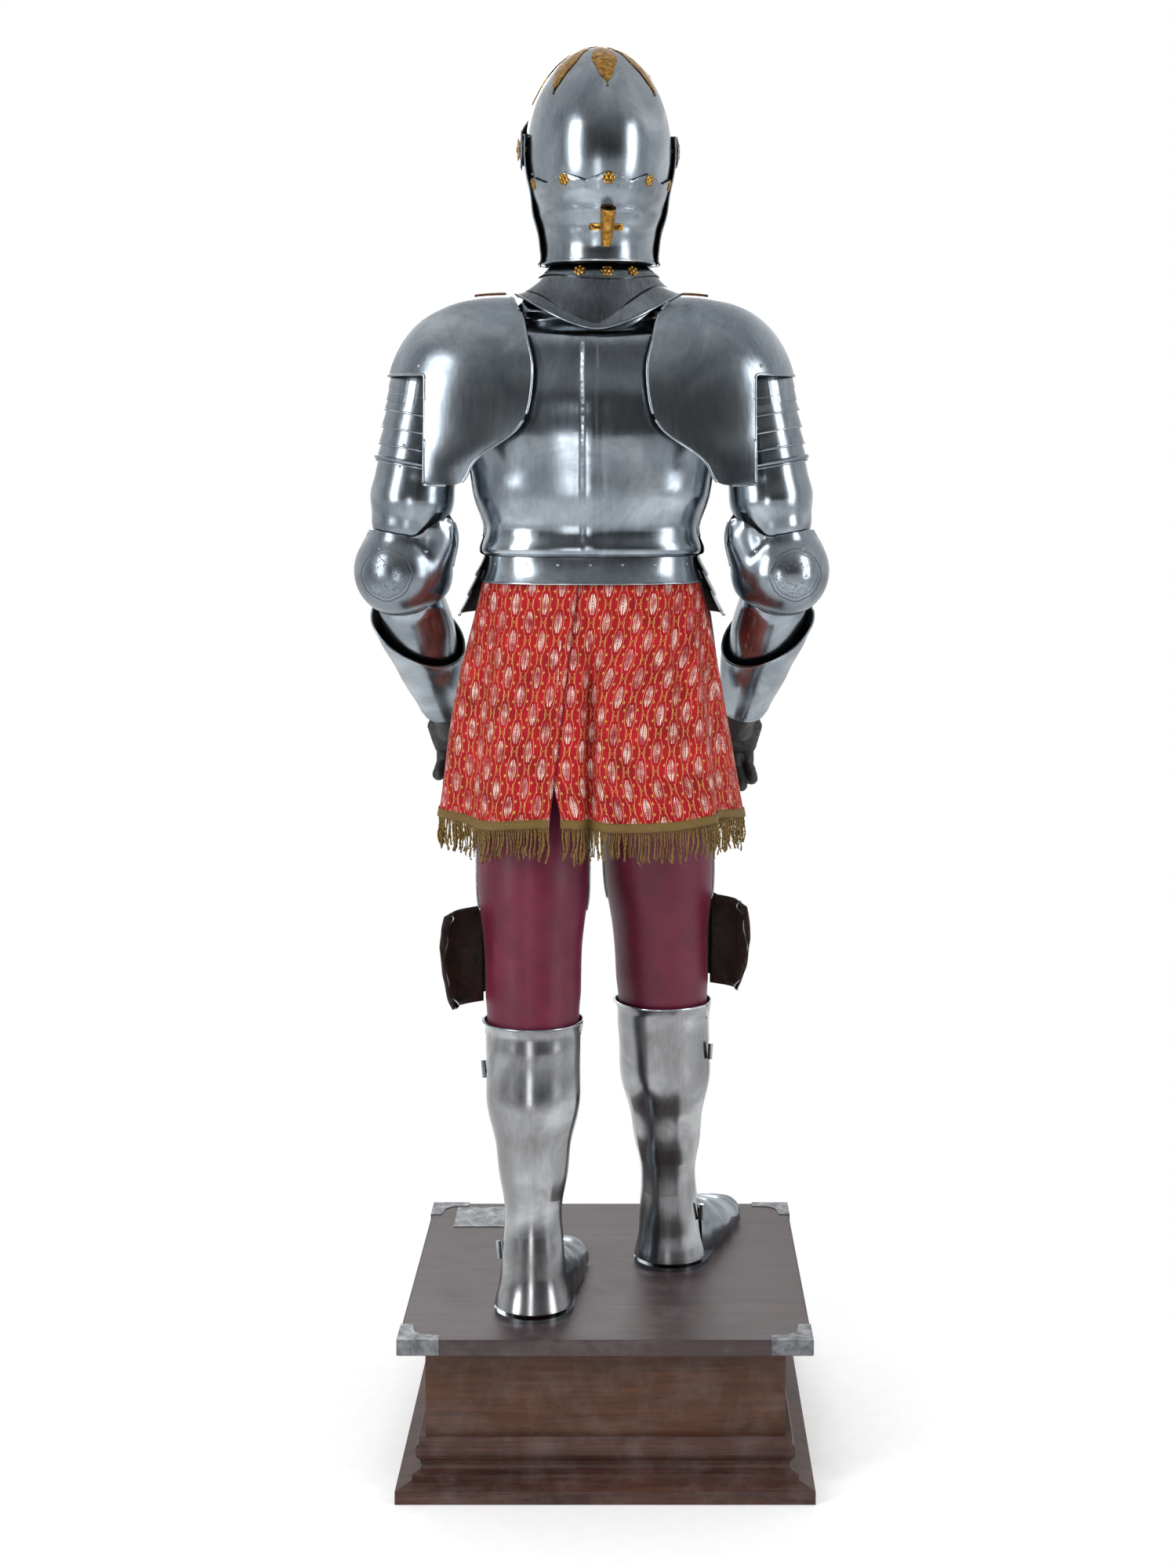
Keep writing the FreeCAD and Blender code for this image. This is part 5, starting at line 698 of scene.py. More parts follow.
rows = spread(0, 1, skirtSizes["rows"])
columns = spread(0, 1, skirtSizes["columns"])
wide = len(columns)
points = [skirtPoint(share, turn) for share in rows for turn in columns]
lengths = []  # how far along the cloth each point lies in its row
for row in range(len(rows)):
    run = [0.0]
    for corner in range(row * wide + 1, (row + 1) * wide):
        run.append(run[-1] + (points[corner] - points[corner - 1]).length)
    lengths.append(run)
falls = [0.0]  # how far down the cloth each row lies, at the wearer's side
for corner in range(wide + wide // 4, len(points), wide):
    falls.append(falls[-1] + (points[corner] - points[corner - wide]).length)
faces, maps = gridFaces(len(rows), wide), []
seams = (round(0.255 * wide), round(0.745 * wide))
for face in faces:
    # the cloth is cut in three panels that meet in side seams, and the pattern starts afresh in each
    column = face[0] % wide
    start = 0 if column < seams[0] else (wide // 2 if column < seams[1] else wide - 1)
    spots = [divmod(corner, wide) for corner in face]
    maps.append([(lengths[row][along] - lengths[row][start], -falls[row]) for row, along in spots])
skirt = makePiece("brocadeSkirt", points, faces, brocadeMaterial("redBrocade"), maps)
skirt.data.flip_normals()
skirt.data.attributes.new("clothBack", "FLOAT", "POINT")
thicken(skirt, skirtSizes["cloth"], -1.0)
# the wall's inner points come after the outer ones, and show the plain reverse of the cloth
marks = [0.0 if number < len(points) else 1.0 for number in range(len(skirt.data.vertices))]
skirt.data.attributes["clothBack"].data.foreach_set("value", marks)
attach(skirt, "stand")
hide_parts("skirt")


def startTree(name, labels):
    tree = bpy.data.node_groups.new(name, "GeometryNodeTree")
    tree.interface.new_socket("Geometry", in_out="INPUT", socket_type="NodeSocketGeometry")
    tree.interface.new_socket("Geometry", in_out="OUTPUT", socket_type="NodeSocketGeometry")
    for label in labels:
        tree.interface.new_socket(label, in_out="INPUT", socket_type="NodeSocketFloat")
    return tree, add(tree, "NodeGroupInput")


def grow(carrier, tree, values):
    # runs the node tree on the carrier and keeps what it makes as plain mesh
    maker = carrier.modifiers.new("maker", "NODES")
    maker.node_group = tree
    for item in tree.interface.items_tree:
        if item.name in values:
            maker[item.identifier] = values[item.name]
    return settle(carrier)


# Gold thread of the band and the fringe: olive gold viscose in patchy fibre tones. The band is a chevron
# braid of two sets of cords that turn back at its middle, with painted shade in the gaps between its cords
bandSizes = {"width": 0.012, "lift": 0.0006, "gauge": 0.0014, "rows": 4, "cordGap": 0.0015003}


def threadMaterial(name, braided):
    material, tree, spots = startMaterial(name)
    fibre = add(tree, "ShaderNodeTexNoise", {"Vector": spots["Object"], "Scale": 900, "Detail": 2,
                                             "Roughness": 0.6})[0]
    patch = add(tree, "ShaderNodeTexNoise", {"Vector": spots["Object"], "Scale": 45, "Detail": 3,
                                             "Roughness": 0.6})[0]
    tone = add(tree, "ShaderNodeValToRGB", [fibre],
               [(0.3, "#503a12"), (0.5, "#7a5f26"), (0.7, "#a3864a")])[0]
    tone = add(tree, "ShaderNodeMix", {0: patch, 6: tone, 7: linear("#6a5220")}, data_type="RGBA")[2]
    height = fibre
    if braided:
        uv = add(tree, "ShaderNodeSeparateXYZ", {0: spots["UV"]})
        fold = add(tree, "ShaderNodeMath", [uv[1], bandSizes["width"] / 2], operation="SUBTRACT")[0]
        fold = add(tree, "ShaderNodeMath", [fold], operation="ABSOLUTE")[0]
        way = add(tree, "ShaderNodeMath", [uv[0], fold], operation="ADD")[0]
        way = add(tree, "ShaderNodeMath", [way, math.pi / bandSizes["cordGap"]], operation="MULTIPLY")[0]
        way = add(tree, "ShaderNodeMath", [way], operation="SINE")[0]
        height = add(tree, "ShaderNodeMath", [way], operation="ABSOLUTE")[0]
        # painted shade: the gaps between the braid's cords are darkened
        gap = add(tree, "ShaderNodeValToRGB", [height], [(0.1, 1.0), (0.5, 0.0)])[0]
        tone = add(tree, "ShaderNodeMix", {0: gap, 6: tone, 7: linear("#3d3012")}, data_type="RGBA")[2]
    finish(tree, {
        "Base Color": tone,
        "Roughness": 0.55,
        "Normal": add(tree, "ShaderNodeBump", {"Height": height, "Strength": 0.6, "Distance": 0.0008})[0],
        "Metallic": 0.25,
    })
    return material


# Woven band along the hem, sewn to the outside of the brocade
bandRows = spread(1 - bandSizes["width"] / skirtSizes["length"], 1.0, bandSizes["rows"])
points = [skirtPoint(share, turn, bandSizes["lift"]) for share in bandRows for turn in columns]
faces, maps = gridFaces(len(bandRows), wide), []
for face in faces:
    spots = [divmod(corner, wide) for corner in face]
    maps.append([(lengths[-1][along], bandSizes["width"] * (1 - row / (len(bandRows) - 1)))
                 for row, along in spots])
hemBand = makePiece("hemBand", points, faces, threadMaterial("braidedBand", True), maps)
hemBand.data.flip_normals()
thicken(hemBand, bandSizes["gauge"], 1.0)
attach(hemBand, "stand")

# Fringe: twisted cords that hang from the hem
fringeSizes = {"step": 0.0034, "length": 0.046, "thick": 0.0017, "flat": 0.45, "inset": 0.0008,
               "tuck": 0.001, "lean": 7, "shortest": 0.74, "longest": 1.06,
               "sway": 0.024, "swayScale": 38.0}
hemPoints = []
reach = 0.0
for column in range(1, wide):
    while reach <= lengths[-1][column]:
        before, after = lengths[-1][column - 1], lengths[-1][column]
        share = (reach - before) / (after - before)
        turn = columns[column - 1] + (columns[column] - columns[column - 1]) * share
        hemPoints.append(skirtPoint(1.0, turn, -fringeSizes["inset"]) + upright * fringeSizes["tuck"])
        reach += fringeSizes["step"]
cordMaterial = threadMaterial("twistedCord", False)
tree, given = startTree("fringeCords", ("Length", "Thickness", "Flatness", "Lean"))

# one cord: a flat profile that turns three times on its way down
fall = add(tree, "ShaderNodeMath", [given["Length"], -1.0], operation="MULTIPLY")
tip = add(tree, "ShaderNodeCombineXYZ", {2: fall[0]})
line = add(tree, "GeometryNodeCurvePrimitiveLine", {"End": tip[0]})
line = add(tree, "GeometryNodeResampleCurve", {"Curve": line[0], "Count": 12})
number = add(tree, "GeometryNodeInputIndex")
twist = add(tree, "ShaderNodeMath", [number[0], math.tau * 3 / 11], operation="MULTIPLY")
line = add(tree, "GeometryNodeSetCurveTilt", {"Curve": line[0], "Tilt": twist[0]})
ring = add(tree, "GeometryNodeCurvePrimitiveCircle", {"Resolution": 5, "Radius": given["Thickness"]})
flatten = add(tree, "ShaderNodeCombineXYZ", {0: 1.0, 1: given["Flatness"], 2: 1.0})
ring = add(tree, "GeometryNodeTransform", {"Geometry": ring[0], "Scale": flatten[0]})
cord = add(tree, "GeometryNodeCurveToMesh", {"Curve": line[0], "Profile Curve": ring[0], "Fill Caps": True})

# its copies along the hem, each with its own lean and length
leanBack = add(tree, "ShaderNodeMath", [given["Lean"], -1.0], operation="MULTIPLY")
low = add(tree, "ShaderNodeCombineXYZ", [leanBack[0], leanBack[0], 0.0])
high = add(tree, "ShaderNodeCombineXYZ", [given["Lean"], given["Lean"], math.tau])
pose = add(tree, "FunctionNodeRandomValue", {0: low[0], 1: high[0], 8: 3}, data_type="FLOAT_VECTOR")
scale = add(tree, "FunctionNodeRandomValue", {2: fringeSizes["shortest"], 3: fringeSizes["longest"], 8: 5},
            data_type="FLOAT")
places = add(tree, "GeometryNodeMeshToPoints", {"Mesh": given["Geometry"]})
cords = add(tree, "GeometryNodeInstanceOnPoints",
            {"Points": places[0], "Instance": cord[0], "Rotation": pose[0], "Scale": scale[1]})
cords = add(tree, "GeometryNodeRealizeInstances", {"Geometry": cords[0]})

# the tips drift together in small tufts
here = add(tree, "GeometryNodeInputPosition")
height = add(tree, "ShaderNodeSeparateXYZ", {0: here[0]})
hemHeight = figure.z + skirtSizes["top"] - skirtSizes["length"]
depth = add(tree, "ShaderNodeMapRange", {0: height[2], 1: hemHeight, 2: hemHeight - fringeSizes["length"],
                                         3: 0.0, 4: 1.0})
drift = add(tree, "ShaderNodeTexNoise", {"Vector": here[0], "Scale": fringeSizes["swayScale"],
                                         "Detail": 1.5})
drift = add(tree, "ShaderNodeVectorMath", {0: drift[1], 1: (0.5, 0.5, 0.5)}, operation="SUBTRACT")
sway = add(tree, "ShaderNodeMath", [depth[0], fringeSizes["sway"]], operation="MULTIPLY")
drift = add(tree, "ShaderNodeVectorMath", {0: drift[0], "Scale": sway[0]}, operation="SCALE")
cords = add(tree, "GeometryNodeSetPosition", {"Geometry": cords[0], "Offset": drift[0]})
cords = add(tree, "GeometryNodeSetMaterial", {"Geometry": cords[0], "Material": cordMaterial})
add(tree, "NodeGroupOutput", [cords[0]])
fringe = makePiece("hemFringe", hemPoints, [], cordMaterial)
grow(fringe, tree, {"Length": fringeSizes["length"], "Thickness": fringeSizes["thick"],
                    "Flatness": fringeSizes["flat"], "Lean": math.radians(fringeSizes["lean"])})
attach(fringe, "stand")
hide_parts("skirt_fringe")
print("band and fringe", len(fringe.data.polygons))


# Soft pieces take the shape of the padded form beneath them, with the small creases of worn cloth
# or leather. Between these two heights the trousers get narrower, to fit inside the greaves
pressSizes = {"low": 0.63, "high": 0.66, "share": 1.6}


def softOver(node, name, material, voxel, swell, crease, creaseSize, rounds):
    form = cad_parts[node]
    mesh = form.data.copy()
    mesh.materials.clear()
    mesh.materials.append(material)
    mesh.transform(form.matrix_world)
    piece = bpy.data.objects.new(name, mesh)
    scene.collection.objects.link(piece)
    even = piece.modifiers.new("even", "REMESH")
    even.mode, even.voxel_size, even.use_smooth_shade = "VOXEL", voxel, True
    soft = piece.modifiers.new("soft", "SMOOTH")
    soft.factor, soft.iterations = 0.5, rounds
    fuller = piece.modifiers.new("fuller", "DISPLACE")
    fuller.strength, fuller.mid_level = swell, 0.0
    clouds = bpy.data.textures.new(name + "Creases", "CLOUDS")
    clouds.noise_scale = creaseSize
    folds = piece.modifiers.new("folds", "DISPLACE")
    folds.texture, folds.strength, folds.mid_level = clouds, crease, 0.35
    settle(piece)
    if material is satin:
        ways = [spot.normal.copy() for spot in piece.data.vertices]
        for spot, way in zip(piece.data.vertices, ways):
            pressed = 1 - smooth(pressSizes["low"], pressSizes["high"], spot.co.z)
            spot.co -= way * swell * pressSizes["share"] * pressed
    return piece


# Wine-red satin: long floats that shine along the leg, a fine crosswise rib and a little lint
def satinMaterial(name):
    material, tree, spots = startMaterial(name)
    ribs = add(tree, "ShaderNodeMapping", {0: spots["Object"], 3: (0.4, 0.4, 3.0)})[0]
    rib = add(tree, "ShaderNodeTexNoise", {"Vector": ribs, "Scale": 700, "Detail": 2, "Roughness": 0.5})[0]
    patch = add(tree, "ShaderNodeTexNoise", {"Vector": spots["Object"], "Scale": 22, "Detail": 4,
                                             "Roughness": 0.6})[0]
    tone = add(tree, "ShaderNodeValToRGB", [patch],
               [(0.3, "#440a20"), (0.5, "#5c102c"), (0.72, "#701a3a")])[0]
    tone = add(tree, "ShaderNodeMix", {0: rib, 6: tone, 7: linear("#520e28")}, data_type="RGBA")[2]
    finish(tree, {
        "Base Color": tone,
        "Roughness": add(tree, "ShaderNodeMapRange", {0: rib, 1: 0.3, 2: 0.7, 3: 0.34, 4: 0.48})[0],
        "Normal": add(tree, "ShaderNodeBump", {"Height": rib, "Strength": 0.3, "Distance": 0.0004})[0],
        "Specular IOR Level": 0.35,
        "Sheen Weight": 0.06,
        "Sheen Roughness": 0.35,
    })
    return material


# Vegetable-tanned leather: pebbled grain, darker in its creases and rubbed paler on the high places
def leatherMaterial(name, deep, mid, wearAndSheen, gloss):
    material, tree, spots = startMaterial(name)
    grain = add(tree, "ShaderNodeTexVoronoi", {"Vector": spots["Object"], "Scale": 950})[0]
    crease = add(tree, "ShaderNodeTexNoise", {"Vector": spots["Object"], "Scale": 60, "Detail": 5,
                                              "Roughness": 0.65, "Distortion": 0.7})[0]
    tone = add(tree, "ShaderNodeValToRGB", [crease], [(0.32, deep), (0.52, mid), (0.74, wearAndSheen)])[0]
    pits = add(tree, "ShaderNodeMath", [grain, 0.4], operation="MULTIPLY")[0]
    rubbed = add(tree, "ShaderNodeMapRange", {0: crease, 1: 0.3, 2: 0.7, 3: gloss + 0.2, 4: gloss})[0]
    relief = add(tree, "ShaderNodeMath", [grain, crease], operation="ADD")[0]
    tone = add(tree, "ShaderNodeMix", {0: pits, 6: tone, 7: linear(deep)}, data_type="RGBA")[2]
    finish(tree, {
        "Base Color": tone,
        "Roughness": rubbed,
        "Normal": add(tree, "ShaderNodeBump", {"Height": relief, "Strength": 0.45, "Distance": 0.0006})[0],
    })
    return material


satin = satinMaterial("wineSatin")
blackLeather = leatherMaterial("blackLeather", "#0d0c0c", "#1d1b1b", "#383433", 0.38)
brownLeather = leatherMaterial("brownLeather", "#3a2013", "#6b3f22", "#8d5c38", 0.45)
trouserSizes = (0.005, 0.0010, 0.0012, 0.045, 6, 0.7)
paddingSizes = (0.004, 0.0006, 0.0006, 0.03, 2, 0.7)
gloveSizes = (0.002, 0.0007, 0.0014, 0.008, 3, 0.5)
strapSizes = (0.001, 0.0002, 0.0004, 0.006, 2, 0.3)
softPieces = [
    # name, node, body, slot, material, (voxel, swell, crease, crease size, rounds, fill)
    ("leftTrouser", "left_leg_form", "stand", "maroon_cloth", satin, trouserSizes),
    ("rightTrouser", "right_leg_form", "stand", "maroon_cloth", satin, trouserSizes),
    ("armPadding", "arm_forms", "stand", "maroon_cloth", satin, paddingSizes),
    ("leftGlove", "left_gauntlet_hand", "left_hand", "black_leather", blackLeather, gloveSizes),
    ("rightGlove", "right_gauntlet_hand", "right_hand", "black_leather", blackLeather, gloveSizes),
    ("shoulderStraps", "leather_straps", "stand", "brown_leather", brownLeather, strapSizes),
]
for name, node, body, slotName, material, (voxel, swell, crease, creaseSize, rounds, fill) in softPieces:
    piece = softOver(node, name, material, voxel, swell, crease, creaseSize, rounds)
    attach(piece, body)
    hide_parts(node)
    print(name, len(piece.data.polygons))


# Rolled edges: the smith turned each plate's rim over a wire. The rolls, the rivet heads and the collar's
# edge get a paler copy of the steel, a painted highlight for the light they catch
rollSizes = {"step": 0.004, "least": 0.03, "sides": 8}
paleHighlightSteel = steelMaterial("paleHighlightSteel", (0.3, 0.1, 0.2), deep="#8d949b", pale="#c9ced3", solid=True)


def radial(heart, axis):
    # the way outwards from a plate's middle, or from the line through its middle
    def way(point):
        step = point - heart
        step -= axis * step.dot(axis)
        return step.normalized()
    return way


def rimPaths(node, outward, keep):
    # the sharp edges of a plate whose one side looks outwards and whose other side is the rim
    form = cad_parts[node]
    net = bmesh.new()
    net.from_mesh(form.data)
    net.transform(form.matrix_world)
    bmesh.ops.remove_doubles(net, verts=net.verts, dist=1e-5)
    net.verts.index_update()
    net.verts.ensure_lookup_table()
    links = {}
    for edge in net.edges:
        if len(edge.link_faces) != 2:
            continue
        one, two = (face.normal for face in edge.link_faces)
        middle = (edge.verts[0].co + edge.verts[1].co) / 2
        way = outward(middle)
        low, high = sorted((one.dot(way), two.dot(way)))
        if one.dot(two) < 0.64 and high > 0.45 > low and keep(middle):
            for a, b in (edge.verts, reversed(edge.verts)):
                links.setdefault(a.index, []).append(b.index)
    spotsAt = {number: net.verts[number].co.copy() for number in links}
    net.free()
    paths = []
    starts = sorted(links, key=lambda number: (len(links[number]) != 1, number))
    for start in starts:
        while links[start]:
            path = [start]
            while links[path[-1]]:
                here = path[-1]
                there = links[here].pop()
                links[there].remove(here)
                path.append(there)
            line = [spotsAt[number] for number in path]
            if lineLength(line) > rollSizes["least"]:
                paths.append(line)
    return paths


def lineLength(line):
    return sum((b - a).length for a, b in zip(line, line[1:]))


def evenly(line, step):
    # the same line with its points at even distances, smoothed twice
    runs = [0.0]
    for a, b in zip(line, line[1:]):
        runs.append(runs[-1] + (b - a).length)
    count = max(3, round(runs[-1] / step) + 1)
    result, part = [], 0
    for want in spread(0, runs[-1], count):
        while part < len(runs) - 2 and runs[part + 1] < want:
            part += 1
        size = runs[part + 1] - runs[part]
        share = min(1.0, (want - runs[part]) / size) if size > 1e-9 else 0.0
        result.append(line[part].lerp(line[part + 1], share))
    for _ in range(2):
        inner = [(a + b * 2 + c) / 4 for a, b, c in zip(result, result[1:], result[2:])]
        result = [result[0]] + inner + [result[-1]]
    return result


def sweep(lines, radius, sides):
    # round bars along the lines, closed at both ends, or joined where a line comes back to its start
    points, faces = [], []
    for line in lines:
        loop = (line[0] - line[-1]).length < 0.003
        if loop:
            line = line[:-1]
        count, base = len(line), len(points)
        across = None
        for number, spot in enumerate(line):
            ahead = line[(number + 1) % count] if loop else line[min(number + 1, count - 1)]
            before = line[number - 1] if loop or number else line[0]
            way = (ahead - before).normalized()
            if across is None:
                across = way.orthogonal()
            across = (across - way * across.dot(way)).normalized()
            lift = way.cross(across)
            for side in range(sides):
                turn = math.tau * side / sides
                points.append(spot + (across * math.cos(turn) + lift * math.sin(turn)) * radius)
        for number in range(count if loop else count - 1):
            follow = (number + 1) % count
            for side in range(sides):
                beside = (side + 1) % sides
                faces.append([base + number * sides + side, base + number * sides + beside,
                              base + follow * sides + beside, base + follow * sides + side])
        if not loop:
            faces.append([base + side for side in reversed(range(sides))])
            faces.append([base + (count - 1) * sides + side for side in range(sides)])
    return points, faces


def anywhere(point):
    return True


def below(height):
    return lambda point: point.z < height


def above(height):
    return lambda point: point.z > height


def behind(depth):
    return lambda point: point.y > depth


rolls = [
    # node, body, middle, axis, radius, which part of the rim
    ("helmet_neck_guard", "helmet", neckSpot, upright, 0.0022, below(1.715)),
    ("visor", "visor", neckSpot, upright, 0.0010, behind(0.035)),
    ("bevor", "bevor", neckSpot, upright, 0.0010, behind(0.035)),
    ("backplate_flange", "stand", figure, upright, 0.0016, below(1.25)),
    ("backplate", "stand", figure, upright, 0.0014, above(1.30)),
    ("breastplate", "stand", figure, upright, 0.0014, above(1.30)),
    ("fauld", "stand", figure, upright, 0.0015, below(1.20)),
]
for side, turn in sides:
    elbow, ankle, legWay = elbows[side], ankles[side], legWays[side]
    rolls += [
        (side + "_pauldron", "stand", capHearts[side], nowhere, 0.0021, anywhere),
        (side + "_arm_lames", "stand", elbow, armUp[side], 0.0016, anywhere),
        (side + "_upper_cannon", "stand", elbow, armUp[side], 0.0011, anywhere),
        (side + "_couter", "stand", elbow, nowhere, 0.0014, above(elbow.z + 0.005)),
        (side + "_gauntlet_cuff", side + "_forearm", elbow, armDown[side], 0.0018, above(1.09)),
        (side + "_tasset", side + "_tasset", figure, upright, 0.0014, anywhere),
        (side + "_greave_back", "stand", ankle, legWay, 0.0018, above(0.60)),
        (side + "_cuisse", "stand", ankle, legWay, 0.0014, anywhere),
    ]
rollLines = {}
for node, body, heart, axis, radius, keep in rolls:
    paths = [evenly(line, rollSizes["step"]) for line in rimPaths(node, radial(heart, axis), keep)]
    print("rim", node, [round(lineLength(line), 3) for line in paths])
    rollLines.setdefault(body, []).append((paths, radius))
for body, groups in rollLines.items():
    points, faces = [], []
    for paths, radius in groups:
        append(points, faces, sweep(paths, radius, rollSizes["sides"]))
    if faces:
        piece = makePiece(body + "RolledEdges", points, faces, paleHighlightSteel)
        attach(piece, body)


def revolve(heart, axis, profile, count):
    # a closed profile of (reach along the axis, radius) turned round the axis
    across = axis.orthogonal().normalized()
    lift = axis.cross(across)
    points = []
    for reach, radius in profile:
        for step in range(count):
            turn = math.tau * step / count
            points.append(heart + axis * reach + (across * math.cos(turn) + lift * math.sin(turn)) * radius)
    faces = []
    for ring in range(len(profile)):
        follow = (ring + 1) % len(profile)
        for step in range(count):
            beside = (step + 1) % count
            faces.append([ring * count + step, follow * count + step,
                          follow * count + beside, ring * count + beside])
    return points, faces


# Lames that the photograph shows under the shoulder cap, and the ring of the arm above the elbow
lameSizes = {"low": 0.236, "high": 0.290, "step": 0.018, "overlap": 0.003, "radius": 0.0576,
             "gauge": 0.0012, "flare": 0.0014, "around": 72,
             "ring": 0.155, "ringRadius": 0.0595, "bar": 0.0034, "barSides": 10}
for side, turn in sides:
    points, faces = [], []
    start, radius = lameSizes["low"], lameSizes["radius"]
    while start < lameSizes["high"]:
        end = start + lameSizes["step"] + lameSizes["overlap"]
        profile = [(start, radius + lameSizes["flare"]), (end, radius),
                   (end, radius - lameSizes["gauge"]), (start, radius)]
        append(points, faces, revolve(elbows[side], armUp[side], profile, lameSizes["around"]))
        start += lameSizes["step"]
    profile = []
    for step in range(lameSizes["barSides"]):
        angle = math.tau * step / lameSizes["barSides"]
        profile.append((lameSizes["bar"] * math.sin(angle),
                        lameSizes["ringRadius"] + lameSizes["bar"] * math.cos(angle)))
    heart = elbows[side] + armUp[side] * lameSizes["ring"]
    append(points, faces, revolve(heart, armUp[side], profile, lameSizes["around"]))
    plates = makePiece(side + "TopLames", points, faces,
                       steelMaterial(side + "LameSteel", elbows[side], armUp[side]))
    net = bmesh.new()
    net.from_mesh(plates.data)
    bmesh.ops.recalc_face_normals(net, faces=net.faces)
    net.to_mesh(plates.data)
    net.free()
    plates.data.polygons.foreach_set("use_smooth", [False] * len(plates.data.polygons))
    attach(plates, "stand")
print("rolled edges and lames")

# Outer skins: the polished surface over the plates whose construction meets in faint kinks
skinSizes = {"rounds": 60, "guard": 0.0007, "calf": 0.0006, "edge": 0.0001, "facing": 0.3}


def skinOver(node, name, outward, proud, material, body):
    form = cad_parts[node]
    net = bmesh.new()
    net.from_mesh(form.data)
    net.transform(form.matrix_world)
    bmesh.ops.remove_doubles(net, verts=net.verts, dist=1e-5)
    hidden = [face for face in net.faces
              if face.normal.dot(outward(face.calc_center_median())) < skinSizes["facing"]]
    bmesh.ops.delete(net, geom=hidden, context="FACES")
    net.verts.index_update()
    inner = [spot.index for spot in net.verts if not spot.is_boundary]
    mesh = bpy.data.meshes.new(name)
    net.to_mesh(mesh)
    net.free()
    mesh.materials.append(material)
    mesh.polygons.foreach_set("use_smooth", [True] * len(mesh.polygons))
    piece = bpy.data.objects.new(name, mesh)
    scene.collection.objects.link(piece)
    piece.vertex_groups.new(name="inner").add(inner, 1.0, "REPLACE")
    soft = piece.modifiers.new("soft", "SMOOTH")
    soft.factor, soft.iterations, soft.vertex_group = 0.5, skinSizes["rounds"], "inner"
    settle(piece)
    within = set(inner)
    for spot in piece.data.vertices:
        spot.co += outward(spot.co) * (proud if spot.index in within else skinSizes["edge"])
    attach(piece, body)


skinOver("helmet_neck_guard", "neckGuardSkin", radial(neckSpot, upright), skinSizes["guard"], helmetSteel,
         "helmet")
for side, turn in sides:
    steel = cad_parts[side + "_greave_back"].material_slots[0].material
    skinOver(side + "_greave_back", side + "CalfSkin", radial(ankles[side], legWays[side]),
             skinSizes["calf"], steel, "stand")

# Shoulder plates that join the back to the breast under the gorget
yokeSizes = {"inner": -0.004, "outer": 0.140, "flat": 0.092, "fall": 1.25, "edge": 1.6135, "peak": 1.6405,
             "rear": 0.131, "rearBow": 1.8, "frontBow": 1.6, "gauge": 0.0012, "rows": 22, "columns": 24}
for side, turn in sides:
    points = []
    for offset in spread(yokeSizes["inner"], yokeSizes["outer"], yokeSizes["rows"]):
        drop = yokeSizes["fall"] * max(0.0, offset - yokeSizes["flat"])
        rear = yokeSizes["rear"] - yokeSizes["rearBow"] * offset ** 2
        front = yokeSizes["frontBow"] * offset ** 2
        for share in spread(0, 1, yokeSizes["columns"]):
            arch = math.sin(math.pi * share) ** 0.75
            height = yokeSizes["edge"] + (yokeSizes["peak"] - yokeSizes["edge"]) * arch - drop
            points.append(Vector((figure.x + turn * offset, rear + (front - rear) * share, height)))
    faces = gridFaces(yokeSizes["rows"], yokeSizes["columns"])
    yoke = makePiece(side + "ShoulderPlate", points, faces, torsoSteel)
    if yoke.data.polygons[0].normal.z < 0:
        yoke.data.flip_normals()
    thicken(yoke, yokeSizes["gauge"], -1.0)
    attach(yoke, "stand")


# Rivets: domed heads set square on the plates, at places seen when looking straight at the back
rivetSizes = {"rise": 0.55, "flangeHalf": 0.135, "flangeHeight": 1.262, "flangeHead": 0.0022,
              "flangeCount": 7}
rivetSpots = {"helmet": [("helmet_skull", 0.104, 1.8076, 0.0024)], "stand": []}
shoulderRivets = [
    # out from the middle, height, head radius, on each side
    (0.2365, 1.538, 0.0030), (0.262, 1.428, 0.0026), (0.232, 1.452, 0.0022),
    (0.2315, 1.279, 0.0030), (0.297, 1.283, 0.0024), (0.268, 1.398, 0.0020),
]
for side, turn in sides:
    for across, height, radius in shoulderRivets:
        rivetSpots["stand"].append((None, figure.x + turn * across, height, radius))
for across in spread(-rivetSizes["flangeHalf"], rivetSizes["flangeHalf"], rivetSizes["flangeCount"]):
    rivetSpots["stand"].append(("backplate_flange", figure.x + across, rivetSizes["flangeHeight"],
                                rivetSizes["flangeHead"]))
tree, given = startTree("rivetHeads", ("Rise",))
head = add(tree, "GeometryNodeMeshUVSphere", {"Segments": 10, "Rings": 6, "Radius": 1.0})
size = add(tree, "GeometryNodeInputNamedAttribute", {"Name": "size"}, data_type="FLOAT")
way = add(tree, "GeometryNodeInputNamedAttribute", {"Name": "way"}, data_type="FLOAT_VECTOR")
pose = add(tree, "FunctionNodeAlignEulerToVector", {"Vector": way[0]}, axis="Z")
flatten = add(tree, "ShaderNodeCombineXYZ", {0: 1.0, 1: 1.0, 2: given["Rise"]})
scale = add(tree, "ShaderNodeVectorMath", {0: flatten[0], "Scale": size[0]}, operation="SCALE")
places = add(tree, "GeometryNodeMeshToPoints", {"Mesh": given["Geometry"]})
heads = add(tree, "GeometryNodeInstanceOnPoints",
            {"Points": places[0], "Instance": head[0], "Rotation": pose[0], "Scale": scale[0]})
heads = add(tree, "GeometryNodeRealizeInstances", {"Geometry": heads[0]})
heads = add(tree, "GeometryNodeSetShadeSmooth", {"Geometry": heads[0]})
heads = add(tree, "GeometryNodeSetMaterial", {"Geometry": heads[0], "Material": paleHighlightSteel})
add(tree, "NodeGroupOutput", [heads[0]])
graph = bpy.context.evaluated_depsgraph_get()
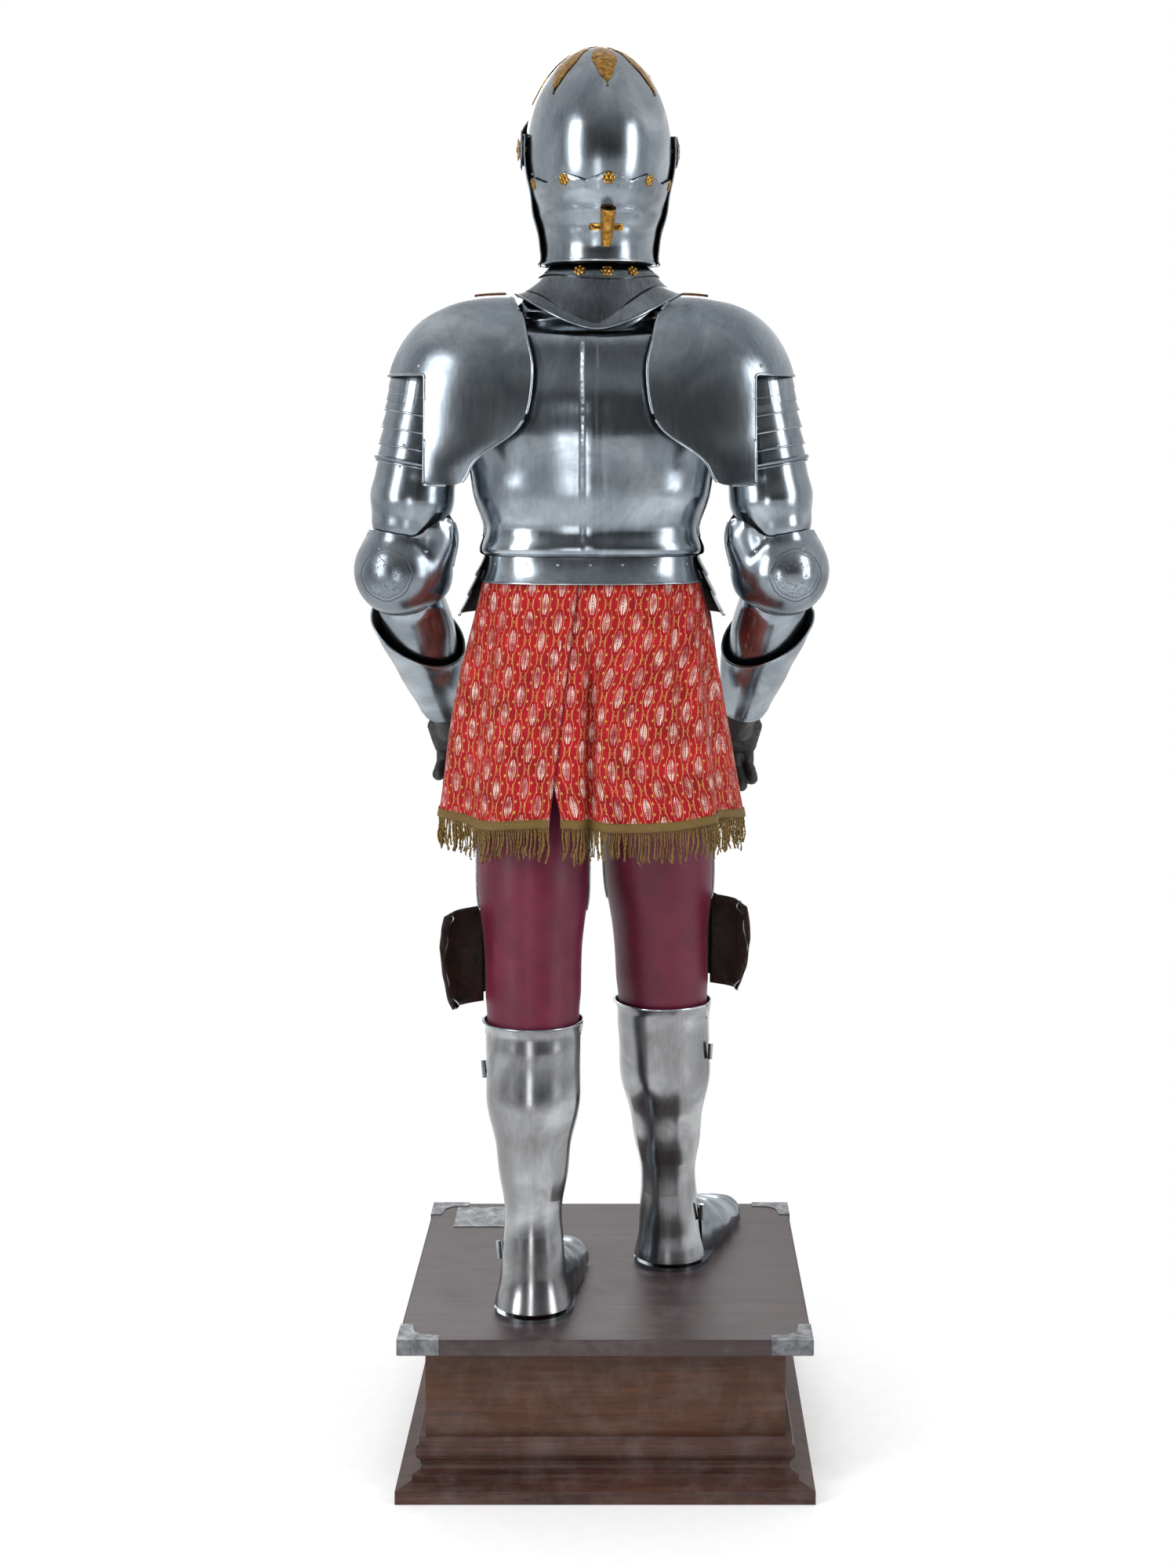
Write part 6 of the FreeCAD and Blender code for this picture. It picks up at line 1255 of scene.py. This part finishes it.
for body, spotList in rivetSpots.items():
    found = []
    for node, across, height, radius in spotList:
        eye = Vector((across, 1.0, height))
        hit, spot, normal, _, form, _ = scene.ray_cast(graph, eye, Vector((0, -1, 0)))
        if hit and (node is None or form.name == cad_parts[node].name or "Skin" in form.name):
            found.append((spot, normal, radius))
    print("rivets", body, len(found), "of", len(spotList))
    heads = makePiece(body + "Rivets", [spot for spot, normal, radius in found], [], paleHighlightSteel)
    sizes = heads.data.attributes.new("size", "FLOAT", "POINT")
    sizes.data.foreach_set("value", [radius for spot, normal, radius in found])
    ways = heads.data.attributes.new("way", "FLOAT_VECTOR", "POINT")
    ways.data.foreach_set("vector", [part for spot, normal, radius in found for part in normal])
    grow(heads, tree, {"Rise": rivetSizes["rise"]})
    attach(heads, body)


# The gorget's lowest lame, a round collar that laps over the back and ends in a rolled edge
collarSizes = {"inner": 0.092, "outer": 0.1025, "wider": 0.0165, "high": 1.6070, "highRise": 0.0465,
               "low": 1.589, "lowRise": 0.0546, "gauge": 0.0011, "roll": 0.0018,
               "past": 14, "rows": 90, "columns": 8}
points, edgeLine = [], []
neckLine = Vector((neckSpot.x, neckSpot.y, 0))
past = math.radians(collarSizes["past"])
for turn in spread(-past, math.pi + past, collarSizes["rows"]):
    openness = abs(math.cos(turn))
    outer = collarSizes["outer"] + collarSizes["wider"] * openness
    high = collarSizes["high"] + collarSizes["highRise"] * smooth(0, 1, openness)
    low = collarSizes["low"] + collarSizes["lowRise"] * openness ** 1.7
    for share in spread(0, 1, collarSizes["columns"]):
        radius = collarSizes["inner"] + (outer - collarSizes["inner"]) * share
        points.append(neckLine + polar(radius, turn, high + (low - high) * share))
    edgeLine.append(points[-1])
faces = gridFaces(collarSizes["rows"], collarSizes["columns"])
collar = makePiece("gorgetCollar", points, faces, gorgetSteel)
if collar.data.polygons[len(faces) // 2].normal.z < 0:
    collar.data.flip_normals()
thicken(collar, collarSizes["gauge"], -1.0)
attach(collar, "stand")
points, faces = sweep([evenly(edgeLine, rollSizes["step"])], collarSizes["roll"], rollSizes["sides"])
collarEdge = makePiece("gorgetCollarEdge", points, faces, paleHighlightSteel)
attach(collarEdge, "stand")


# Leather linings of the knee wings: dark harness leather, glued in and cut to a smooth outline.
# Each outer edge runs through three measured places, at the low, middle and high height
liningSizes = {"low": 0.6385, "middle": 0.7093, "high": 0.7712, "proud": 0.0012, "gauge": 0.001,
               "outer": {"left": (0.2152, 0.2318, 0.2264), "right": (0.1884, 0.2052, 0.1996)},
               "inner": {"left": 0.176, "right": 0.150}, "wingLow": 0.652, "wingHigh": 0.757,
               "cutHigh": 0.133, "meanHigh": 0.132, "spare": 1.15, "rows": 30, "columns": 16}
liningLeather = leatherMaterial("liningLeather", "#1a110e", "#2c1e19", "#453128", 0.45)


def outlineAt(height, low, middle, high):
    a, b, c = liningSizes["low"], liningSizes["middle"], liningSizes["high"]
    return (low * (height - b) * (height - c) / ((a - b) * (a - c))
            + middle * (height - a) * (height - c) / ((b - a) * (b - c))
            + high * (height - a) * (height - b) / ((c - a) * (c - b)))


for side, turn in sides:
    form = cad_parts[side + "_poleyn"]
    rows = spread(liningSizes["low"], liningSizes["high"], liningSizes["rows"])
    columns = spread(0, 1, liningSizes["columns"])
    inner = liningSizes["inner"][side]
    acrossAt = []
    depths = []
    for height in rows:
        outer = outlineAt(height, *liningSizes["outer"][side])
        acrossAt.append([turn * (inner + (outer - inner) * share) for share in columns])
        seen = min(max(height, liningSizes["wingLow"]), liningSizes["wingHigh"])
        row = []
        for across in acrossAt[-1]:
            hit, spot, _, _ = form.ray_cast(Vector((across, 0.4, seen)), Vector((0, -1, 0)))
            row.append(spot.y if hit else None)
        # past the wing's own edge the leather goes on as it was going, but never forwards
        for column in range(1, len(row)):
            last = row[column - 1]
            if row[column] is None and last is not None:
                before = row[column - 2] if column > 1 and row[column - 2] is not None else last
                row[column] = last + max(0.0, last - before)
        depths.append(row)
    nearest = min(value for row in depths for value in row if value is not None)
    depths = [[nearest if value is None else value for value in row] for row in depths]
    for _ in range(3):
        padded = depths[:1] + depths + depths[-1:]
        depths = [[sum(three) / 3 for three in zip(*padded[r:r + 3])] for r in range(len(rows))]
    points = []
    for height, acrossRow, row in zip(rows, acrossAt, depths):
        for across, depth in zip(acrossRow, row):
            points.append(Vector((across, depth + liningSizes["proud"], height)))
    faces = gridFaces(len(rows), len(columns))
    lining = makePiece(side + "WingLining", points, faces, liningLeather)
    if lining.data.polygons[len(faces) // 2].normal.y < 0:
        lining.data.flip_normals()
    thicken(lining, liningSizes["gauge"], 1.0)
    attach(lining, "stand")
print("rivets, collar and wing linings")
